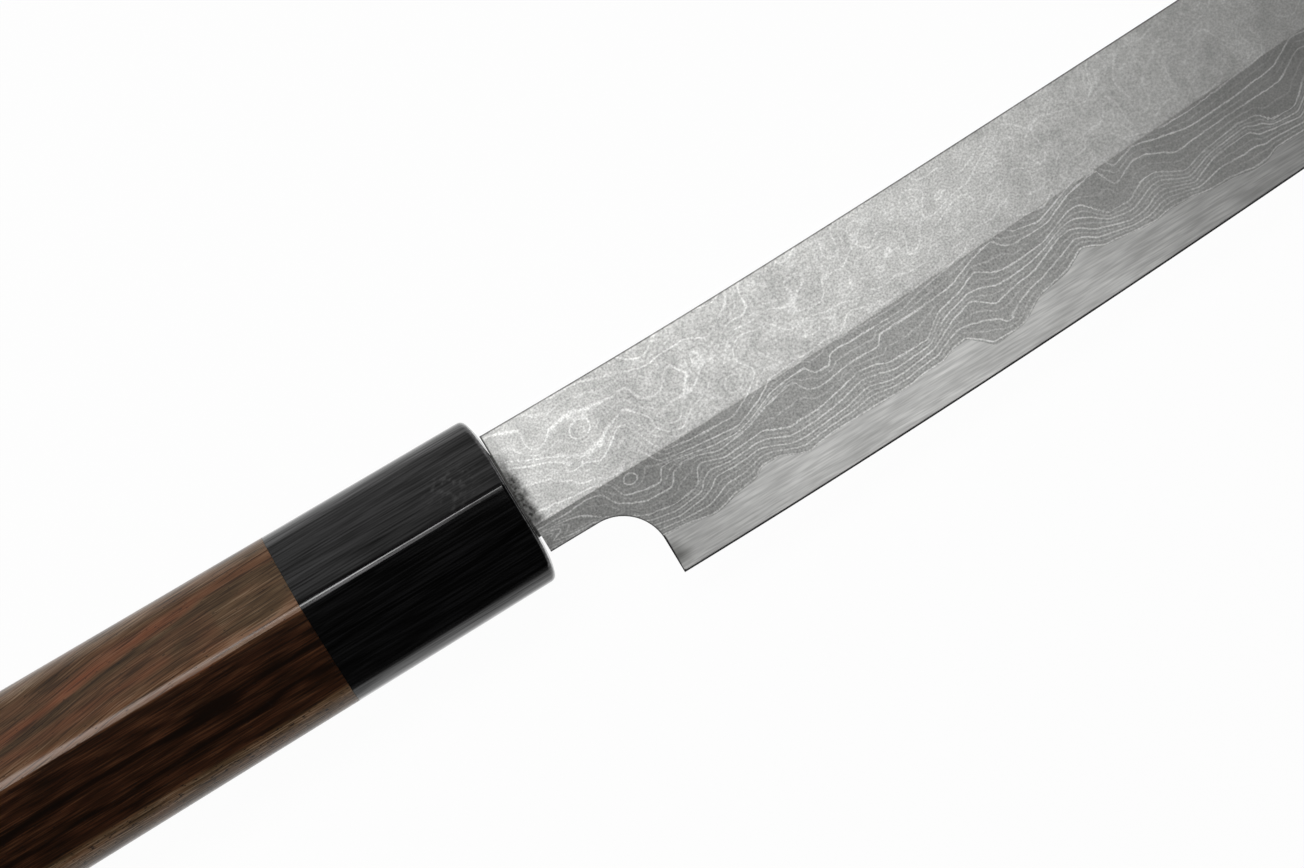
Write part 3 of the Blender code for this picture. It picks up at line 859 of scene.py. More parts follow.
    def build(self) -> bpy.types.Material:
        """Makes the material.

        Returns:
            The material, ready for a piece.
        """
        bench = Bench("suminagashi_iron_blasted_and_etched", 1.0, self.roughness)
        add = bench.add
        dents = bench.grain(self.dent_width, 1.0)
        colour = add(Node.MIX, {0: self.lines(bench), 6: linear(self.iron), 7: linear(self.light_line)},
                     **COLOURS)
        # painted shade: darker within a fraction of a millimetre of the outline
        rim = add(Node.LAYER, out="Fac", attribute_name="rim")
        rim = add(Node.RANGE, (rim, *self.dark_edge_mm, self.dark_edge_share, 0.0), **SMOOTH)
        colour = add(Node.MIX, {0: rim, 6: colour, 7: linear(self.painted_dark_edge)}, **COLOURS)
        # oxidised patch and painted shadow line at the mouth
        oxide_and_shadow = self.oxide_and_corner_shadow(bench)
        colour = add(Node.MIX, {0: oxide_and_shadow, 6: colour, 7: linear(self.oxide_and_shadow)}, **COLOURS)
        depth = add(Node.RANGE, (bench.along, *self.from_mouth(self.smoother), *self.speckle))
        speckle = add(Node.MATH, (dents, 0.5), operation="SUBTRACT")
        speckle = add(Node.MATH, (speckle, depth, 1.0), operation="MULTIPLY_ADD")
        # painted shade: darker in a band a little ahead of the mouth
        painted_shade_band = add(Node.MATH, (bench.along, self.mouth + self.shade_band_at), operation="SUBTRACT")
        painted_shade_band = add(Node.MATH, (painted_shade_band,), operation="ABSOLUTE")
        painted_shade_band = add(Node.RANGE, (painted_shade_band, 0.0, self.shade_band_reach, self.shade_band_tone, 1.0), **SMOOTH)
        cloud = add(Node.RANGE, (bench.grain(self.cloud_size, 4.0), *GRAIN_REACH, *self.cloud_tones))
        patches = add(Node.RANGE, (bench.grain(self.patch_size, 4.0), *GRAIN_REACH, *self.patch_tones))
        flat = add(Node.LAYER, out="Fac", attribute_name="flat")
        patches = add(Node.MIX, {0: flat, 2: self.bevel_tone, 3: patches})
        bench.give(Base_Color=bench.tinted(colour, speckle, painted_shade_band, cloud, patches),
                   Normal=add(Node.BUMP, {"Height": dents, "Strength": 0.25, "Distance": self.dent_depth}))
        return bench.made


@dataclass(frozen=True)
class CoreSteel:
    """High-carbon cutting steel, ground along the edge and hazed on stones.

    The grinding leaves fine lines along the blade, which stretch a reflection across them, and the
    heel keeps a dark stain. The thin dark line along the cutting edge is painted shade. The real
    lines are some 0.03 mm apart, and are drawn wider, so that they show.
    """

    stain_at: tuple[float, float, float]
    steel: str = "D8D8D6"
    stain: str = "6A6A66"
    # painted shade: colour of the thin dark line along the cutting edge
    painted_dark_edge: str = "303030"
    roughness: float = 0.31
    anisotropy: float = 0.6
    line_width: float = 0.28 * MM
    line_tones: tuple[float, float] = (0.84, 1.16)
    band_width: float = 0.8 * MM
    band_tones: tuple[float, float] = (0.94, 1.06)
    spot_size: float = 2.4 * MM
    haze_tones: tuple[float, float] = (0.88, 1.12)
    # painted shade: width of the dark line along the cutting edge, in mm
    dark_edge_mm: tuple[float, float] = (0.18, 0.36)
    stain_wander: float = 3 * MM
    stain_reach: tuple[float, float] = (0.2 * MM, 2.9 * MM)
    stain_share: float = 0.8

    def build(self) -> bpy.types.Material:
        """Makes the material.

        Returns:
            The material, ready for a piece.
        """
        bench = Bench("carbon_steel_ground_along_the_edge", 1.0, self.roughness)
        add = bench.add
        spots = bench.grain(self.spot_size, 2.0, longer=2.5)
        away = add(Node.VECTOR, (bench.place, self.stain_at), "Value", operation="DISTANCE")
        wander = add(Node.MATH, (spots, 0.5), operation="SUBTRACT")
        away = add(Node.MATH, (wander, self.stain_wander, away), operation="MULTIPLY_ADD")
        stained = add(Node.RANGE, (away, *self.stain_reach, self.stain_share, 0.0), **SMOOTH)
        colour = add(Node.MIX, {0: stained, 6: linear(self.steel), 7: linear(self.stain)}, **COLOURS)
        # painted shade: darker within a fraction of a millimetre of the outline
        rim = add(Node.LAYER, out="Fac", attribute_name="rim")
        rim = add(Node.RANGE, (rim, *self.dark_edge_mm, 1.0, 0.0), **SMOOTH)
        colour = add(Node.MIX, {0: rim, 6: colour, 7: linear(self.painted_dark_edge)}, **COLOURS)
        lines = bench.grain(self.line_width, 2.0, longer=16.0)
        lines = add(Node.RANGE, (lines, 0.34, 0.66, *self.line_tones))
        bands = bench.grain(self.band_width, 3.0, longer=14.0)
        bands = add(Node.RANGE, (bands, *GRAIN_REACH, *self.band_tones))
        haze = add(Node.RANGE, (spots, *GRAIN_REACH, *self.haze_tones))
        normal = add(Node.SURFACE, out="Normal")
        across = add(Node.VECTOR, (normal, (1.0, 0.0, 0.0)), operation="CROSS_PRODUCT")
        bench.give(Base_Color=bench.tinted(colour, lines, bands, haze), Tangent=across,
                   Anisotropic=self.anisotropy)
        return bench.made


@dataclass(frozen=True)
class BlackWood:
    """African blackwood, sanded lengthwise and polished: nearly black, and seen by its gloss.

    The open grain takes the polish in streaks, so the gloss comes and goes along it. Near the blade
    fine scuffs catch the light. The real grain is some 0.05 mm wide, and is drawn wider, so that it
    shows.
    """

    scuffed_at: tuple[float, float, float]
    dark: str = "020202"
    streak: str = "141415"
    roughness: float = 0.2
    coat_roughness: float = 0.165
    grain_width: float = 0.22 * MM
    grain_depth: float = 0.01 * MM
    grain_gloss: tuple[float, float] = (0.27, 0.73)
    band_width: float = 1.7 * MM
    band_gloss: tuple[float, float] = (-0.12, 0.12)
    scuff_size: float = 0.7 * MM
    scuff_gloss: float = 0.5
    scuff_degrees: float = 24.0
    scuff_reach: tuple[float, float] = (1.5 * MM, 5.5 * MM)

    def build(self) -> bpy.types.Material:
        """Makes the material.

        Returns:
            The material, ready for a piece.
        """
        bench = Bench("blackwood_polished", 0.0, self.roughness)
        add = bench.add
        fine = bench.grain(self.grain_width, 2.0, longer=45.0)
        bands = bench.grain(self.band_width, 3.0, longer=22.0)
        streaks = add(Node.RANGE, (fine, 0.40, 0.72, 0.0, 1.0), **SMOOTH)
        colour = add(Node.MIX, {0: streaks, 6: linear(self.dark), 7: linear(self.streak)}, **COLOURS)
        scuffs = bench.grain(self.scuff_size, 4.0, longer=1.8, turned_degrees=self.scuff_degrees)
        scuffs = add(Node.RANGE, (scuffs, 0.50, 0.66, 0.0, self.scuff_gloss), **SMOOTH)
        away = add(Node.VECTOR, (bench.place, self.scuffed_at), "Value", operation="DISTANCE")
        near = add(Node.RANGE, (away, *self.scuff_reach, 1.0, 0.0), **SMOOTH)
        scuffs = add(Node.MATH, (scuffs, near), operation="MULTIPLY")
        gloss = add(Node.RANGE, (fine, 0.35, 0.65, *self.grain_gloss))
        broad = add(Node.RANGE, (bands, *GRAIN_REACH, *self.band_gloss))
        gloss = add(Node.MATH, (gloss, broad), operation="ADD")
        gloss = add(Node.MATH, (gloss, scuffs), operation="ADD")
        bench.give(Base_Color=colour, Specular_IOR_Level=gloss, Coat_Weight=gloss,
                   Coat_Roughness=self.coat_roughness,
                   Normal=add(Node.BUMP, {"Height": fine, "Strength": 0.12, "Distance": self.grain_depth}))
        return bench.made


@dataclass(frozen=True)
class Rosewood:
    """Rosewood, shaped, oiled and polished: red-brown and olive with near-black figure.

    The figure is kept on the mesh's points as two values, how pale and how red the wood is, and the
    paleness also carries painted light and shade. Fine grain, the dark lines of long vessels and short
    open pores lie over it. On the sides the grain follows the way round the grip, and on the butt the
    vessels are cut across and show as dots. The real vessels are some 0.1 mm wide, and they and the
    fine grain are drawn wider, so that they show.
    """

    shades: tuple[tuple[float, str], ...] = (
        (0.0, "130A05"), (0.25, "2B1A0F"), (0.5, "4B3825"), (0.75, "614C36"), (1.0, "907A62"))
    red: str = "714029"
    pore: str = "120B07"
    roughness: float = 0.28
    gloss: float = 0.3
    coat: float = 0.1
    coat_roughness: float = 0.2
    grain_width: float = 0.19 * MM
    grain_paleness: float = 0.19
    band_width: float = 0.9 * MM
    band_paleness: float = 0.07
    band_redness: tuple[float, float] = (0.75, 1.0)
    red_tones: tuple[float, float] = (0.12, 1.25)
    vessel_width: float = 0.36 * MM
    vessel_share: float = 0.55
    pore_width: float = 0.22 * MM
    pore_share: float = 0.9
    pore_depth: float = 0.03 * MM
    pore_crowd: tuple[float, float] = (-10.8 * MM, -9.8 * MM)

    def shade(self, bench: Bench, pale: bpy.types.NodeSocket) -> bpy.types.NodeSocket:
        """Turns how pale the wood is into its brown.

        Args:
            bench: where the material is mixed.
            pale: from 0 for the darkest figure to 1 for the palest wood.

        Returns:
            The colour.
        """
        brown = bench.add(Node.RAMP, (pale,), "Color")
        stops = brown.node.color_ramp.elements
        for stop, (position, shade) in zip((stops[0], stops[1]), (self.shades[0], self.shades[-1])):
            stop.position, stop.color = position, linear(shade)
        for position, shade in self.shades[1:-1]:
            stops.new(position).color = linear(shade)
        return brown

    def build(self) -> bpy.types.Material:
        """Makes the material.

        Returns:
            The material, ready for a piece.
        """
        bench = Bench("rosewood_oiled_and_polished", 0.0, self.roughness)
        add = bench.add
        place = add(Node.JOIN, (bench.along, add(Node.LAYER, out="Fac", attribute_name="across_grain")))
        end = add(Node.LAYER, out="Fac", attribute_name="end")
        place = add(Node.MIX, {0: end, 4: place, 5: bench.place}, data_type="VECTOR", out=1)
        fine = bench.grain(self.grain_width, 2.0, longer=34.0, place=place)
        bands = bench.grain(self.band_width, 3.0, longer=18.0, place=place)
        pale = add(Node.LAYER, out="Fac", attribute_name="pale")
        for grain, reach in ((fine, self.grain_paleness), (bands, self.band_paleness)):
            grain = add(Node.RANGE, (grain, 0.35, 0.65, -reach, reach))
            pale = add(Node.MATH, (pale, grain), operation="ADD")
        brown = self.shade(bench, pale)
        deep = add(Node.RANGE, (pale, 0.0, 0.75, *self.red_tones))
        red = bench.tinted(linear(self.red)[:3], deep)
        redness = add(Node.RANGE, (bands, *GRAIN_REACH, *self.band_redness))
        redness = add(Node.MATH, (redness, add(Node.LAYER, out="Fac", attribute_name="red")),
                      operation="MULTIPLY")
        colour = add(Node.MIX, {0: redness, 6: brown, 7: red}, **COLOURS)
        vessels = bench.grain(self.vessel_width, 1.0, longer=26.0, place=place)
        vessels = add(Node.RANGE, (vessels, 0.56, 0.64, 0.0, self.vessel_share), **SMOOTH)
        colour = add(Node.MIX, {0: vessels, 6: colour, 7: linear(self.pore)}, **COLOURS)
        crowd = add(Node.RANGE, (bench.across, *self.pore_crowd, 0.10, 0.01))
        pores = bench.grain(self.pore_width, 1.0, longer=4.5, place=place)
        pores = add(Node.MATH, (pores, crowd), operation="ADD")
        pores = add(Node.RANGE, (pores, 0.70, 0.75, 0.0, self.pore_share), **SMOOTH)
        colour = add(Node.MIX, {0: pores, 6: colour, 7: linear(self.pore)}, **COLOURS)
        filled = add(Node.MATH, (1.0, pores), operation="SUBTRACT")
        bench.give(Base_Color=colour, Specular_IOR_Level=self.gloss, Coat_Weight=self.coat,
                   Coat_Roughness=self.coat_roughness,
                   Normal=add(Node.BUMP, {"Height": filled, "Strength": 0.3, "Distance": self.pore_depth}))
        return bench.made


@dataclass(frozen=True)
class PlainHardwood:
    """Unfinished hardwood of the hidden dowel: pale brown with a straight open grain."""

    light: str = "B89468"
    dark: str = "94704A"
    roughness: float = 0.65
    grain_width: float = 0.8 * MM
    grain_depth: float = 0.05 * MM

    def build(self) -> bpy.types.Material:
        """Makes the material.

        Returns:
            The material, ready for a piece.
        """
        bench = Bench("hardwood_unfinished", 0.0, self.roughness)
        grain = bench.grain(self.grain_width, 4.0, longer=20.0)
        colour = bench.add(Node.MIX, {0: grain, 6: linear(self.dark), 7: linear(self.light)}, **COLOURS)
        raised = bench.add(Node.BUMP, {"Height": grain, "Strength": 0.3, "Distance": self.grain_depth})
        bench.give(Base_Color=colour, Normal=raised)
        return bench.made


@dataclass(frozen=True)
class CastResin:
    """Amber resin poured round the tang: clouded, and dull where it set against the wood."""

    clear: str = "9C7A3C"
    clouded: str = "7A5A2A"
    roughness: float = 0.45
    cloud_size: float = 6 * MM

    def build(self) -> bpy.types.Material:
        """Makes the material.

        Returns:
            The material, ready for a piece.
        """
        bench = Bench("amber_resin_cast", 0.0, self.roughness)
        cloud = bench.grain(self.cloud_size, 3.0)
        colour = bench.add(Node.MIX, {0: cloud, 6: linear(self.clouded), 7: linear(self.clear)}, **COLOURS)
        bench.give(Base_Color=colour)
        return bench.made


@dataclass
class Blade:
    """The forged blade: the soft layered cladding with neck and tang, and the core steel under it.

    A point deeper than face_depth millimetres under the ground front is on a wall, where every line
    has wall_share. The heel's stain lies ahead of the heel's corner and above it.
    """

    shape: BladeShape
    layers: ForgedLayers
    step: float = 0.42 * MM
    tang_columns: int = 12
    choil_columns: int = 25
    bevel_rows: int = 38
    flat_rows: int = 34
    spine_rows: int = 3
    under_rows: int = 9
    back_rows: int = 40
    weld_clearance: float = 0.01 * MM
    tip_reach: float = 40.0 * MM
    corner_rounds: int = 8
    face_depth: float = 0.02
    wall_share: float = 0.2
    flat_fade: float = 0.6 * MM
    heel_stain: tuple[float, float] = (0.4 * MM, 2.4 * MM)
    rim_depth: float = 0.3 * MM
    heel_softness: float = 0.16 * MM
    columns: dict[str, np.ndarray] = field(default_factory=dict)

    def __post_init__(self) -> None:
        """Lays out the columns that both pieces share."""
        self.columns = self.lay_out_columns()

    def tip_corner(self) -> tuple[float, float, float, float]:
        """Centre of the rounded corner of the tip, and the angles where its arc meets spine and end face.

        The centre lies one radius under the spine and one radius inside the leaning end face. Either
        place depends a little on the other, so they are worked out by turns, corner_rounds times.

        Returns:
            The centre's x and y, the angle at the spine and the angle at the end face.
        """
        s = self.shape
        start, settling, slope = s.spine_sweep
        spine_angle = math.atan(slope * math.tanh((s.length - start) / settling))
        edge_y = float(s.edge(np.array(s.tip)))
        lean_angle = math.atan(s.tip_lean / (float(s.spine(np.array(s.tip))) - edge_y))
        centre_x = s.tip - s.tip_lean - s.tip_rounding
        centre_y = 0.0
        for _ in range(self.corner_rounds):
            centre_y = float(s.spine(np.array(centre_x))) - s.tip_rounding / math.cos(spine_angle)
            end_face_x = s.tip - (centre_y - edge_y) * math.tan(lean_angle)
            centre_x = end_face_x - s.tip_rounding / math.cos(lean_angle)
        return centre_x, centre_y, math.pi / 2 + spine_angle, lean_angle

    def lay_out_columns(self) -> dict[str, np.ndarray]:
        """Works out where each column of points stands.

        A column is a line across the blade, from its foot on the lower outline to its head on the
        upper one. Columns stand upright, and over the last stretch they lean over step by step, as
        their heads follow the spine and the tip's rounded corner while their feet follow the edge.

        Returns:
            Arrays over the columns: foot x, head x, head y, the lower outline's y, whether the column
            is in the tang, and whether the cladding is whole there, as no core lies under it.
        """
        s = self.shape
        shoulder = s.handle_length + s.shoulder_gap
        upper_shoulder = s.handle_length + s.upper_shoulder_gap
        core_start = s.handle_length + s.core_setback
        arc_start = s.heel - s.choil_radius
        tang = np.linspace(s.handle_length - s.tang_length, s.handle_length, self.tang_columns)
        tang = np.concatenate((tang, [s.handle_length, upper_shoulder, upper_shoulder, shoulder]))
        neck = np.arange(shoulder, core_start, self.step)
        run = np.arange(core_start, arc_start, self.step)
        turn = np.linspace(0, math.pi / 2, self.choil_columns)
        choil = arc_start + s.choil_radius * np.sin(turn)
        blade = np.linspace(s.heel, s.tip, round((s.tip - s.heel) / self.step))
        foot_x = np.concatenate((tang, neck, [core_start], run, choil, blade))
        in_tang = np.arange(len(foot_x)) < len(tang)
        before_core = np.arange(len(foot_x)) < len(tang) + len(neck) + 1
        root = np.arange(len(tang)) >= self.tang_columns
        tang_low = np.where(root, -s.root_below_axis, s.tang_above_axis - s.tang_half_height(tang))
        neck_low = np.full(len(neck) + 1 + len(run), -s.neck_below_axis)
        choil_low = s.choil_wall + s.choil_radius * np.cos(turn)
        low = np.concatenate((tang_low, neck_low, choil_low, s.edge(blade)))
        under_tang = np.arange(len(foot_x)) < len(tang) - 2
        centre_x, centre_y, from_angle, to_angle = self.tip_corner()
        reach_start = s.tip - self.tip_reach
        corner_x = centre_x + s.tip_rounding * math.cos(from_angle)
        straight = corner_x - reach_start
        bend = s.tip_rounding * (from_angle - to_angle)
        travelled = np.clip((foot_x - reach_start) / self.tip_reach, 0, 1) * (straight + bend)
        angle = from_angle - np.clip(travelled - straight, 0, None) / s.tip_rounding
        on_arc = travelled > straight
        head_x = np.where(foot_x > reach_start, reach_start + travelled, foot_x)
        head_x = np.where(on_arc, centre_x + s.tip_rounding * np.cos(angle), head_x)
        high = np.where(under_tang, s.tang_above_axis + s.tang_half_height(foot_x), s.spine(head_x))
        high = np.where(on_arc, centre_y + s.tip_rounding * np.sin(angle), high)
        return {"foot": foot_x, "head": head_x, "high": high, "low": low,
                "tang": in_tang, "whole": before_core}

    def place(self, y: np.ndarray, z: np.ndarray) -> np.ndarray:
        """Puts rows of heights on their columns: x runs evenly from foot to head as y climbs.

        Args:
            y: heights, a row for each column.
            z: how far out they lie, an array of the same shape.

        Returns:
            A (columns, rows, 3) array of points.
        """
        c = self.columns
        base = np.minimum(c["low"], self.shape.edge(c["foot"]))[:, None]
        base = np.where(c["tang"][:, None], c["low"][:, None], base)
        share = np.clip((y - base) / (c["high"][:, None] - base), 0.0, 1.0)
        x = c["foot"][:, None] + (c["head"] - c["foot"])[:, None] * share
        return np.stack((x, y, z), axis=-1)

    def rows(self) -> np.ndarray:
        """Heights of the rows in every column, before they are cut off at an outline.

        Rows stand at fixed heights over the edge up to the bevel's upper end, and from there they
        divide what is left below the spine evenly.

        Returns:
            A (columns, rows) array.
        """
        c, s = self.columns, self.shape
        edge = s.edge(c["foot"])[:, None]
        bevel = edge + np.linspace(s.edge_bevel_width, s.bevel_width, self.bevel_rows)
        spine = np.where(c["tang"], s.spine(c["foot"]), c["high"])[:, None]
        top = edge + s.bevel_width
        flat = top + (spine - top) * np.linspace(0, 1, self.flat_rows)[1:]
        return np.concatenate((bevel, flat), axis=1)

    def weld_line(self) -> np.ndarray:
        """Y of the weld's line in every column: the cutting edge's plus the line's height over it.

        Returns:
            A (columns, 1) array.
        """
        foot = self.columns["foot"]
        height = self.layers.weld_height((foot - self.shape.handle_length) / MM) * MM
        return (self.shape.edge(foot) + height)[:, None]

    def rim_distance(self, x: np.ndarray, y: np.ndarray, z: np.ndarray) -> np.ndarray:
        """Distance from the outline: the spine, the cutting edge, or the neck and choil.

        It is spine(x) - y or y - edge(x), and down a wall the depth past rim_depth is added. Round the
        choil it is the distance from the arc's centre less its radius, with the place held at or past the
        centre both ways, which goes on as the distance from the neck's straight edge and from the heel's.
        Down the heel, where the painted dark line along the outline is kept thinner, heel_softness is added.

        Args:
            x: places along the knife, metres.
            y: places across it, metres.
            z: places out of it, metres.

        Returns:
            The distances in millimetres.
        """
        s = self.shape
        right = np.maximum(x - (s.heel - s.choil_radius), 0.0)
        above = np.maximum(y - s.choil_wall, 0.0)
        below = smooth_step((s.choil_wall - y) / s.choil_radius)
        around = np.hypot(right, above) - s.choil_radius + self.heel_softness * below
        depth = np.maximum(s.front(x, y - s.edge(x)) - z - self.rim_depth, 0.0)
        return (np.minimum(np.minimum(s.spine(x) - y, y - s.edge(x)), around) + depth) / MM

    def cladding_rings(self) -> np.ndarray:
        """Cross-sections of the cladding: front, spine, underside at the weld, and the lower wall.

        Returns:
            A (columns, points, 3) array.
        """
        c, s = self.columns, self.shape
        edge = s.edge(c["foot"])[:, None]
        low = np.where(c["whole"], c["low"], np.maximum(c["low"], self.weld_line()[:, 0]))[:, None]
        high = c["high"][:, None]
        under = np.where(c["whole"], s.back, self.layers.weld_z(c["foot"]))[:, None]
        foot = c["foot"][:, None]
        front_y = np.clip(self.rows(), low, high)
        front_z = s.front(foot, front_y - edge)
        share = np.linspace(0, 1, self.spine_rows + 2)[1:-1]
        spine_z = front_z[:, -1:] + (under - front_z[:, -1:]) * share
        spine_y = np.repeat(high, self.spine_rows, axis=1)
        under_y = high + (low - high) * np.linspace(0, 1, self.under_rows)
        under_z = np.repeat(under, self.under_rows, axis=1)
        wall_z = under + (np.maximum(front_z[:, :1], under) - under) * share
        wall_y = np.repeat(low, self.spine_rows, axis=1)
        y = np.concatenate((front_y, spine_y, under_y, wall_y), axis=1)
        z = np.concatenate((np.maximum(front_z, under), spine_z, under_z, wall_z), axis=1)
        return self.place(y, z)

    def core_rings(self) -> np.ndarray:
        """Cross-sections of the core: edge bevel, bevel up to the weld, weld, spine and hollow back.

        Returns:
            A (columns, points, 3) array, from the core's first column on.
        """
        c, s = self.columns, self.shape
        first = int(np.argmin(c["whole"]))
        edge = s.edge(c["foot"])[:, None]
        low, high, foot = c["low"][:, None], c["high"][:, None], c["foot"][:, None]
        weld = self.layers.weld_z(c["foot"])[:, None]
        front_y = np.clip(self.rows()[:, :self.bevel_rows], low, np.maximum(self.weld_line(), low))
        front_z = np.minimum(s.front(foot, front_y - edge), weld)
        meet = front_y[:, -1:]
        weld_rows = meet + (high - meet) * np.linspace(0, 1, self.under_rows)[1:]
        weld_z = np.repeat(weld - self.weld_clearance, self.under_rows - 1, axis=1)
        back_y = high + (low - high) * np.linspace(0, 1, self.back_rows)
        back_z = s.back + s.hollow(foot, back_y - edge, high - edge)
        y = np.concatenate((front_y, weld_rows, back_y), axis=1)
        z = np.concatenate((front_z, weld_z, back_z), axis=1)
        return self.place(y, z)[first:]

    def build(self) -> None:
        """Makes and dresses both pieces."""
        rings = self.cladding_rings()
        x, y, z = np.moveaxis(rings, -1, 0)
        height = y - self.shape.edge(x)
        depth = (self.shape.front(x, height) - z) / MM
        on_face = depth < self.face_depth
        number = self.layers.number(x, y) - np.maximum(depth, 0.0) / self.layers.layer_thickness
        flat = smooth_step((height - self.shape.bevel_width) / self.flat_fade + 0.5)
        share = np.where(on_face, self.layers.line_share(x, y, flat), self.wall_share)
        values = {"layer": number, "line_share": share, "flat": flat, "rim": self.rim_distance(x, y, z)}
        mesh = loft_mesh("layered_cladding", rings, capped=True, layers=values)
        finish = LayeredIron(self.shape.handle_length).build()
        add_piece("layered_cladding", mesh, finish, "blade_cladding")
        rings = self.core_rings()
        x, y, z = np.moveaxis(rings, -1, 0)
        ahead, above = self.heel_stain
        stain_at = (self.shape.heel + ahead, float(self.shape.edge(self.shape.heel)) + above, self.shape.back)
        mesh = loft_mesh("cutting_core", rings, capped=True, layers={"rim": self.rim_distance(x, y, z)})
        finish = CoreSteel(stain_at).build()
        add_piece("cutting_core", mesh, finish, "blade_core_steel")


@dataclass(frozen=True)
class Streak:
    """One band of the wood's figure, some of them painted highlights, and how much paler and redder than the
    rest the wood is there.

    The points are millimetres from the ferrule's front, and millimetres up from the handle's axis.
    """

    half_width: float
    pale: float
    red: float
    points: tuple[tuple[float, float], ...]


@dataclass(frozen=True)
class WoodFigure:
    """How pale and how red the grip's wood is, on the two flats, on the lower rim and on the back.

    Each of the four has two values, how pale and how red, from 0 to 1. The differences between the
    flats and the rim are painted light and shade: the upper flat is painted paler, the lower flat darker,
    and the lower rim pale, as lit by the white surroundings. Lengths are in millimetres. A streak that
    starts behind run_on goes on over the butt.
    """

    ridge: float
    # painted light and shade, each (pale, red): upper flat painted paler, lower flat darker, lower rim pale
    # as lit by the white surroundings
    upper: tuple[float, float] = (0.58, 0.22)
    lower: tuple[float, float] = (0.19, 0.32)
    rim: tuple[float, float] = (0.78, 0.08)
    back: tuple[float, float] = (0.40, 0.35)
    lit_rim_below: float = -10.2
    fade: float = 1.6
    run_on: float = -140.0
    wander: float = 0.16
    wander_lengths: tuple[float, float] = (1.2, 4.0)
    wander_seed: int = 21
    cloud: float = 0.035
    cloud_lengths: tuple[float, float] = (0.8, 3.0)
    cloud_seed: int = 22
    cloud_redness: float = 2.0
    drawn_out: float = 7.0
    grain_climb: float = 1.2
    ridge_fade: float = 0.2
    lit_rim_fade: float = 0.6
    back_fade: float = 3.0
    butt: float = -144.3
    butt_fade: float = 0.5
    ring_bow: float = 2.6
    ring_reach: float = 10.5
    streaks: tuple[Streak, ...] = (
        Streak(0.80, 0.12, 0.62, ((-145.0, 3.4), (-110.0, 4.9), (-85.0, 6.3), (-72.0, 7.5), (-60.0, 9.3),
                                  (-50.0, 10.0), (-33.0, 10.5), (-25.0, 10.6))),
        Streak(0.45, -0.12, -0.50, ((-145.0, 2.9), (-110.0, 4.0), (-85.0, 5.5), (-72.0, 6.5), (-65.0, 7.3),
                                    (-60.0, 8.2), (-50.0, 8.8), (-41.0, 9.0), (-25.0, 9.2))),
        Streak(0.70, 0.03, 0.35, ((-96.0, 3.6), (-74.0, 4.8), (-60.0, 5.2), (-50.0, 5.4))),
        Streak(3.20, 0.08, -0.22, ((-44.0, 5.8), (-36.0, 5.6), (-25.0, 5.4))),
        Streak(1.10, 0.00, -0.30, ((-45.0, 10.3), (-25.0, 10.5))),
        Streak(0.13, -0.30, -0.10, ((-49.0, 5.5), (-44.0, 5.8))),
        Streak(0.13, -0.30, -0.10, ((-37.5, 6.5), (-33.5, 6.7))),
        Streak(0.22, -0.18, 0.00, ((-57.0, 2.3), (-48.0, 3.3), (-38.0, 4.0), (-25.0, 4.3))),
        Streak(0.50, -0.22, -0.10, ((-145.0, 7.4), (-120.0, 8.6), (-100.0, 9.6), (-86.0, 10.6))),
        # painted highlight: a pale band just above the ridge, where the strip lamp's reflection lies
        Streak(1.20, 0.42, 0.28, ((-145.0, 2.4), (-25.0, 2.0))),
        # painted highlight: a pale band along the grip's upper edge, where the white surroundings reflect
        Streak(1.40, 0.26, -0.10, ((-145.0, 13.4), (-25.0, 12.6))),
        Streak(0.60, -0.12, -0.20, ((-145.0, 0.4), (-100.0, 0.8), (-74.0, 1.0), (-25.0, 1.1))),
        Streak(0.40, -0.32, -0.20, ((-145.0, -5.2), (-100.0, -4.4), (-74.0, -3.9), (-60.0, -3.6),
                                    (-50.0, -3.5), (-25.0, -3.3))),
        Streak(1.00, -0.20, -0.10, ((-53.0, -4.0), (-45.0, -4.0))),
        Streak(0.40, -0.28, -0.20, ((-145.0, -8.8), (-100.0, -8.2), (-72.0, -7.4), (-67.0, -7.8),
                                    (-60.0, -7.2), (-45.0, -6.8), (-40.0, -6.6), (-25.0, -7.1))),
        Streak(0.25, -0.20, 0.00, ((-68.5, -9.0), (-63.5, -9.0))),
        Streak(0.80, 0.10, 0.20, ((-145.0, -2.2), (-110.0, -1.8), (-90.0, -1.6))),
    )

    def climb(self, along: np.ndarray) -> np.ndarray:
        """How far the upper flat's grain has climbed: grain_climb times its first streak's height."""
        return self.grain_climb * np.interp(along, *np.array(self.streaks[0].points).T)

    def read(self, along: np.ndarray, up: np.ndarray, out: np.ndarray) -> dict[str, np.ndarray]:
        """Reads the figure at places on the grip.

        A streak's share is exp(-(distance from its line / half width)^2), and dies out at its ends. Random
        waves, long along the grip, bend the streaks a little and cloud the wood between them. Across the
        butt the streaks bow like growth rings, by ring_bow (1 - (out / ring_reach)^2).

        Args:
            along: millimetres ahead of the ferrule's front, so negative on the grip.
            up: millimetres up from the handle's axis.
            out: millimetres out from the axis towards the ridge.

        Returns:
            The values "pale" and "red" at the places, and "end", which is 1 on the butt's end grain.
        """
        end = smooth_step((self.butt - along) / self.butt_fade)
        bend = self.wander * random_waves(along / self.drawn_out, up, self.wander_lengths, self.wander_seed)
        bend = bend + end * self.ring_bow * (1 - (out / self.ring_reach) ** 2)
        above = smooth_step((up - self.ridge) / self.ridge_fade + 0.5)
        on_lit_rim = smooth_step((self.lit_rim_below - up) / self.lit_rim_fade + 0.5)
        behind = np.maximum(smooth_step(-out / self.back_fade), end)
        values = []
        for tone in range(2):
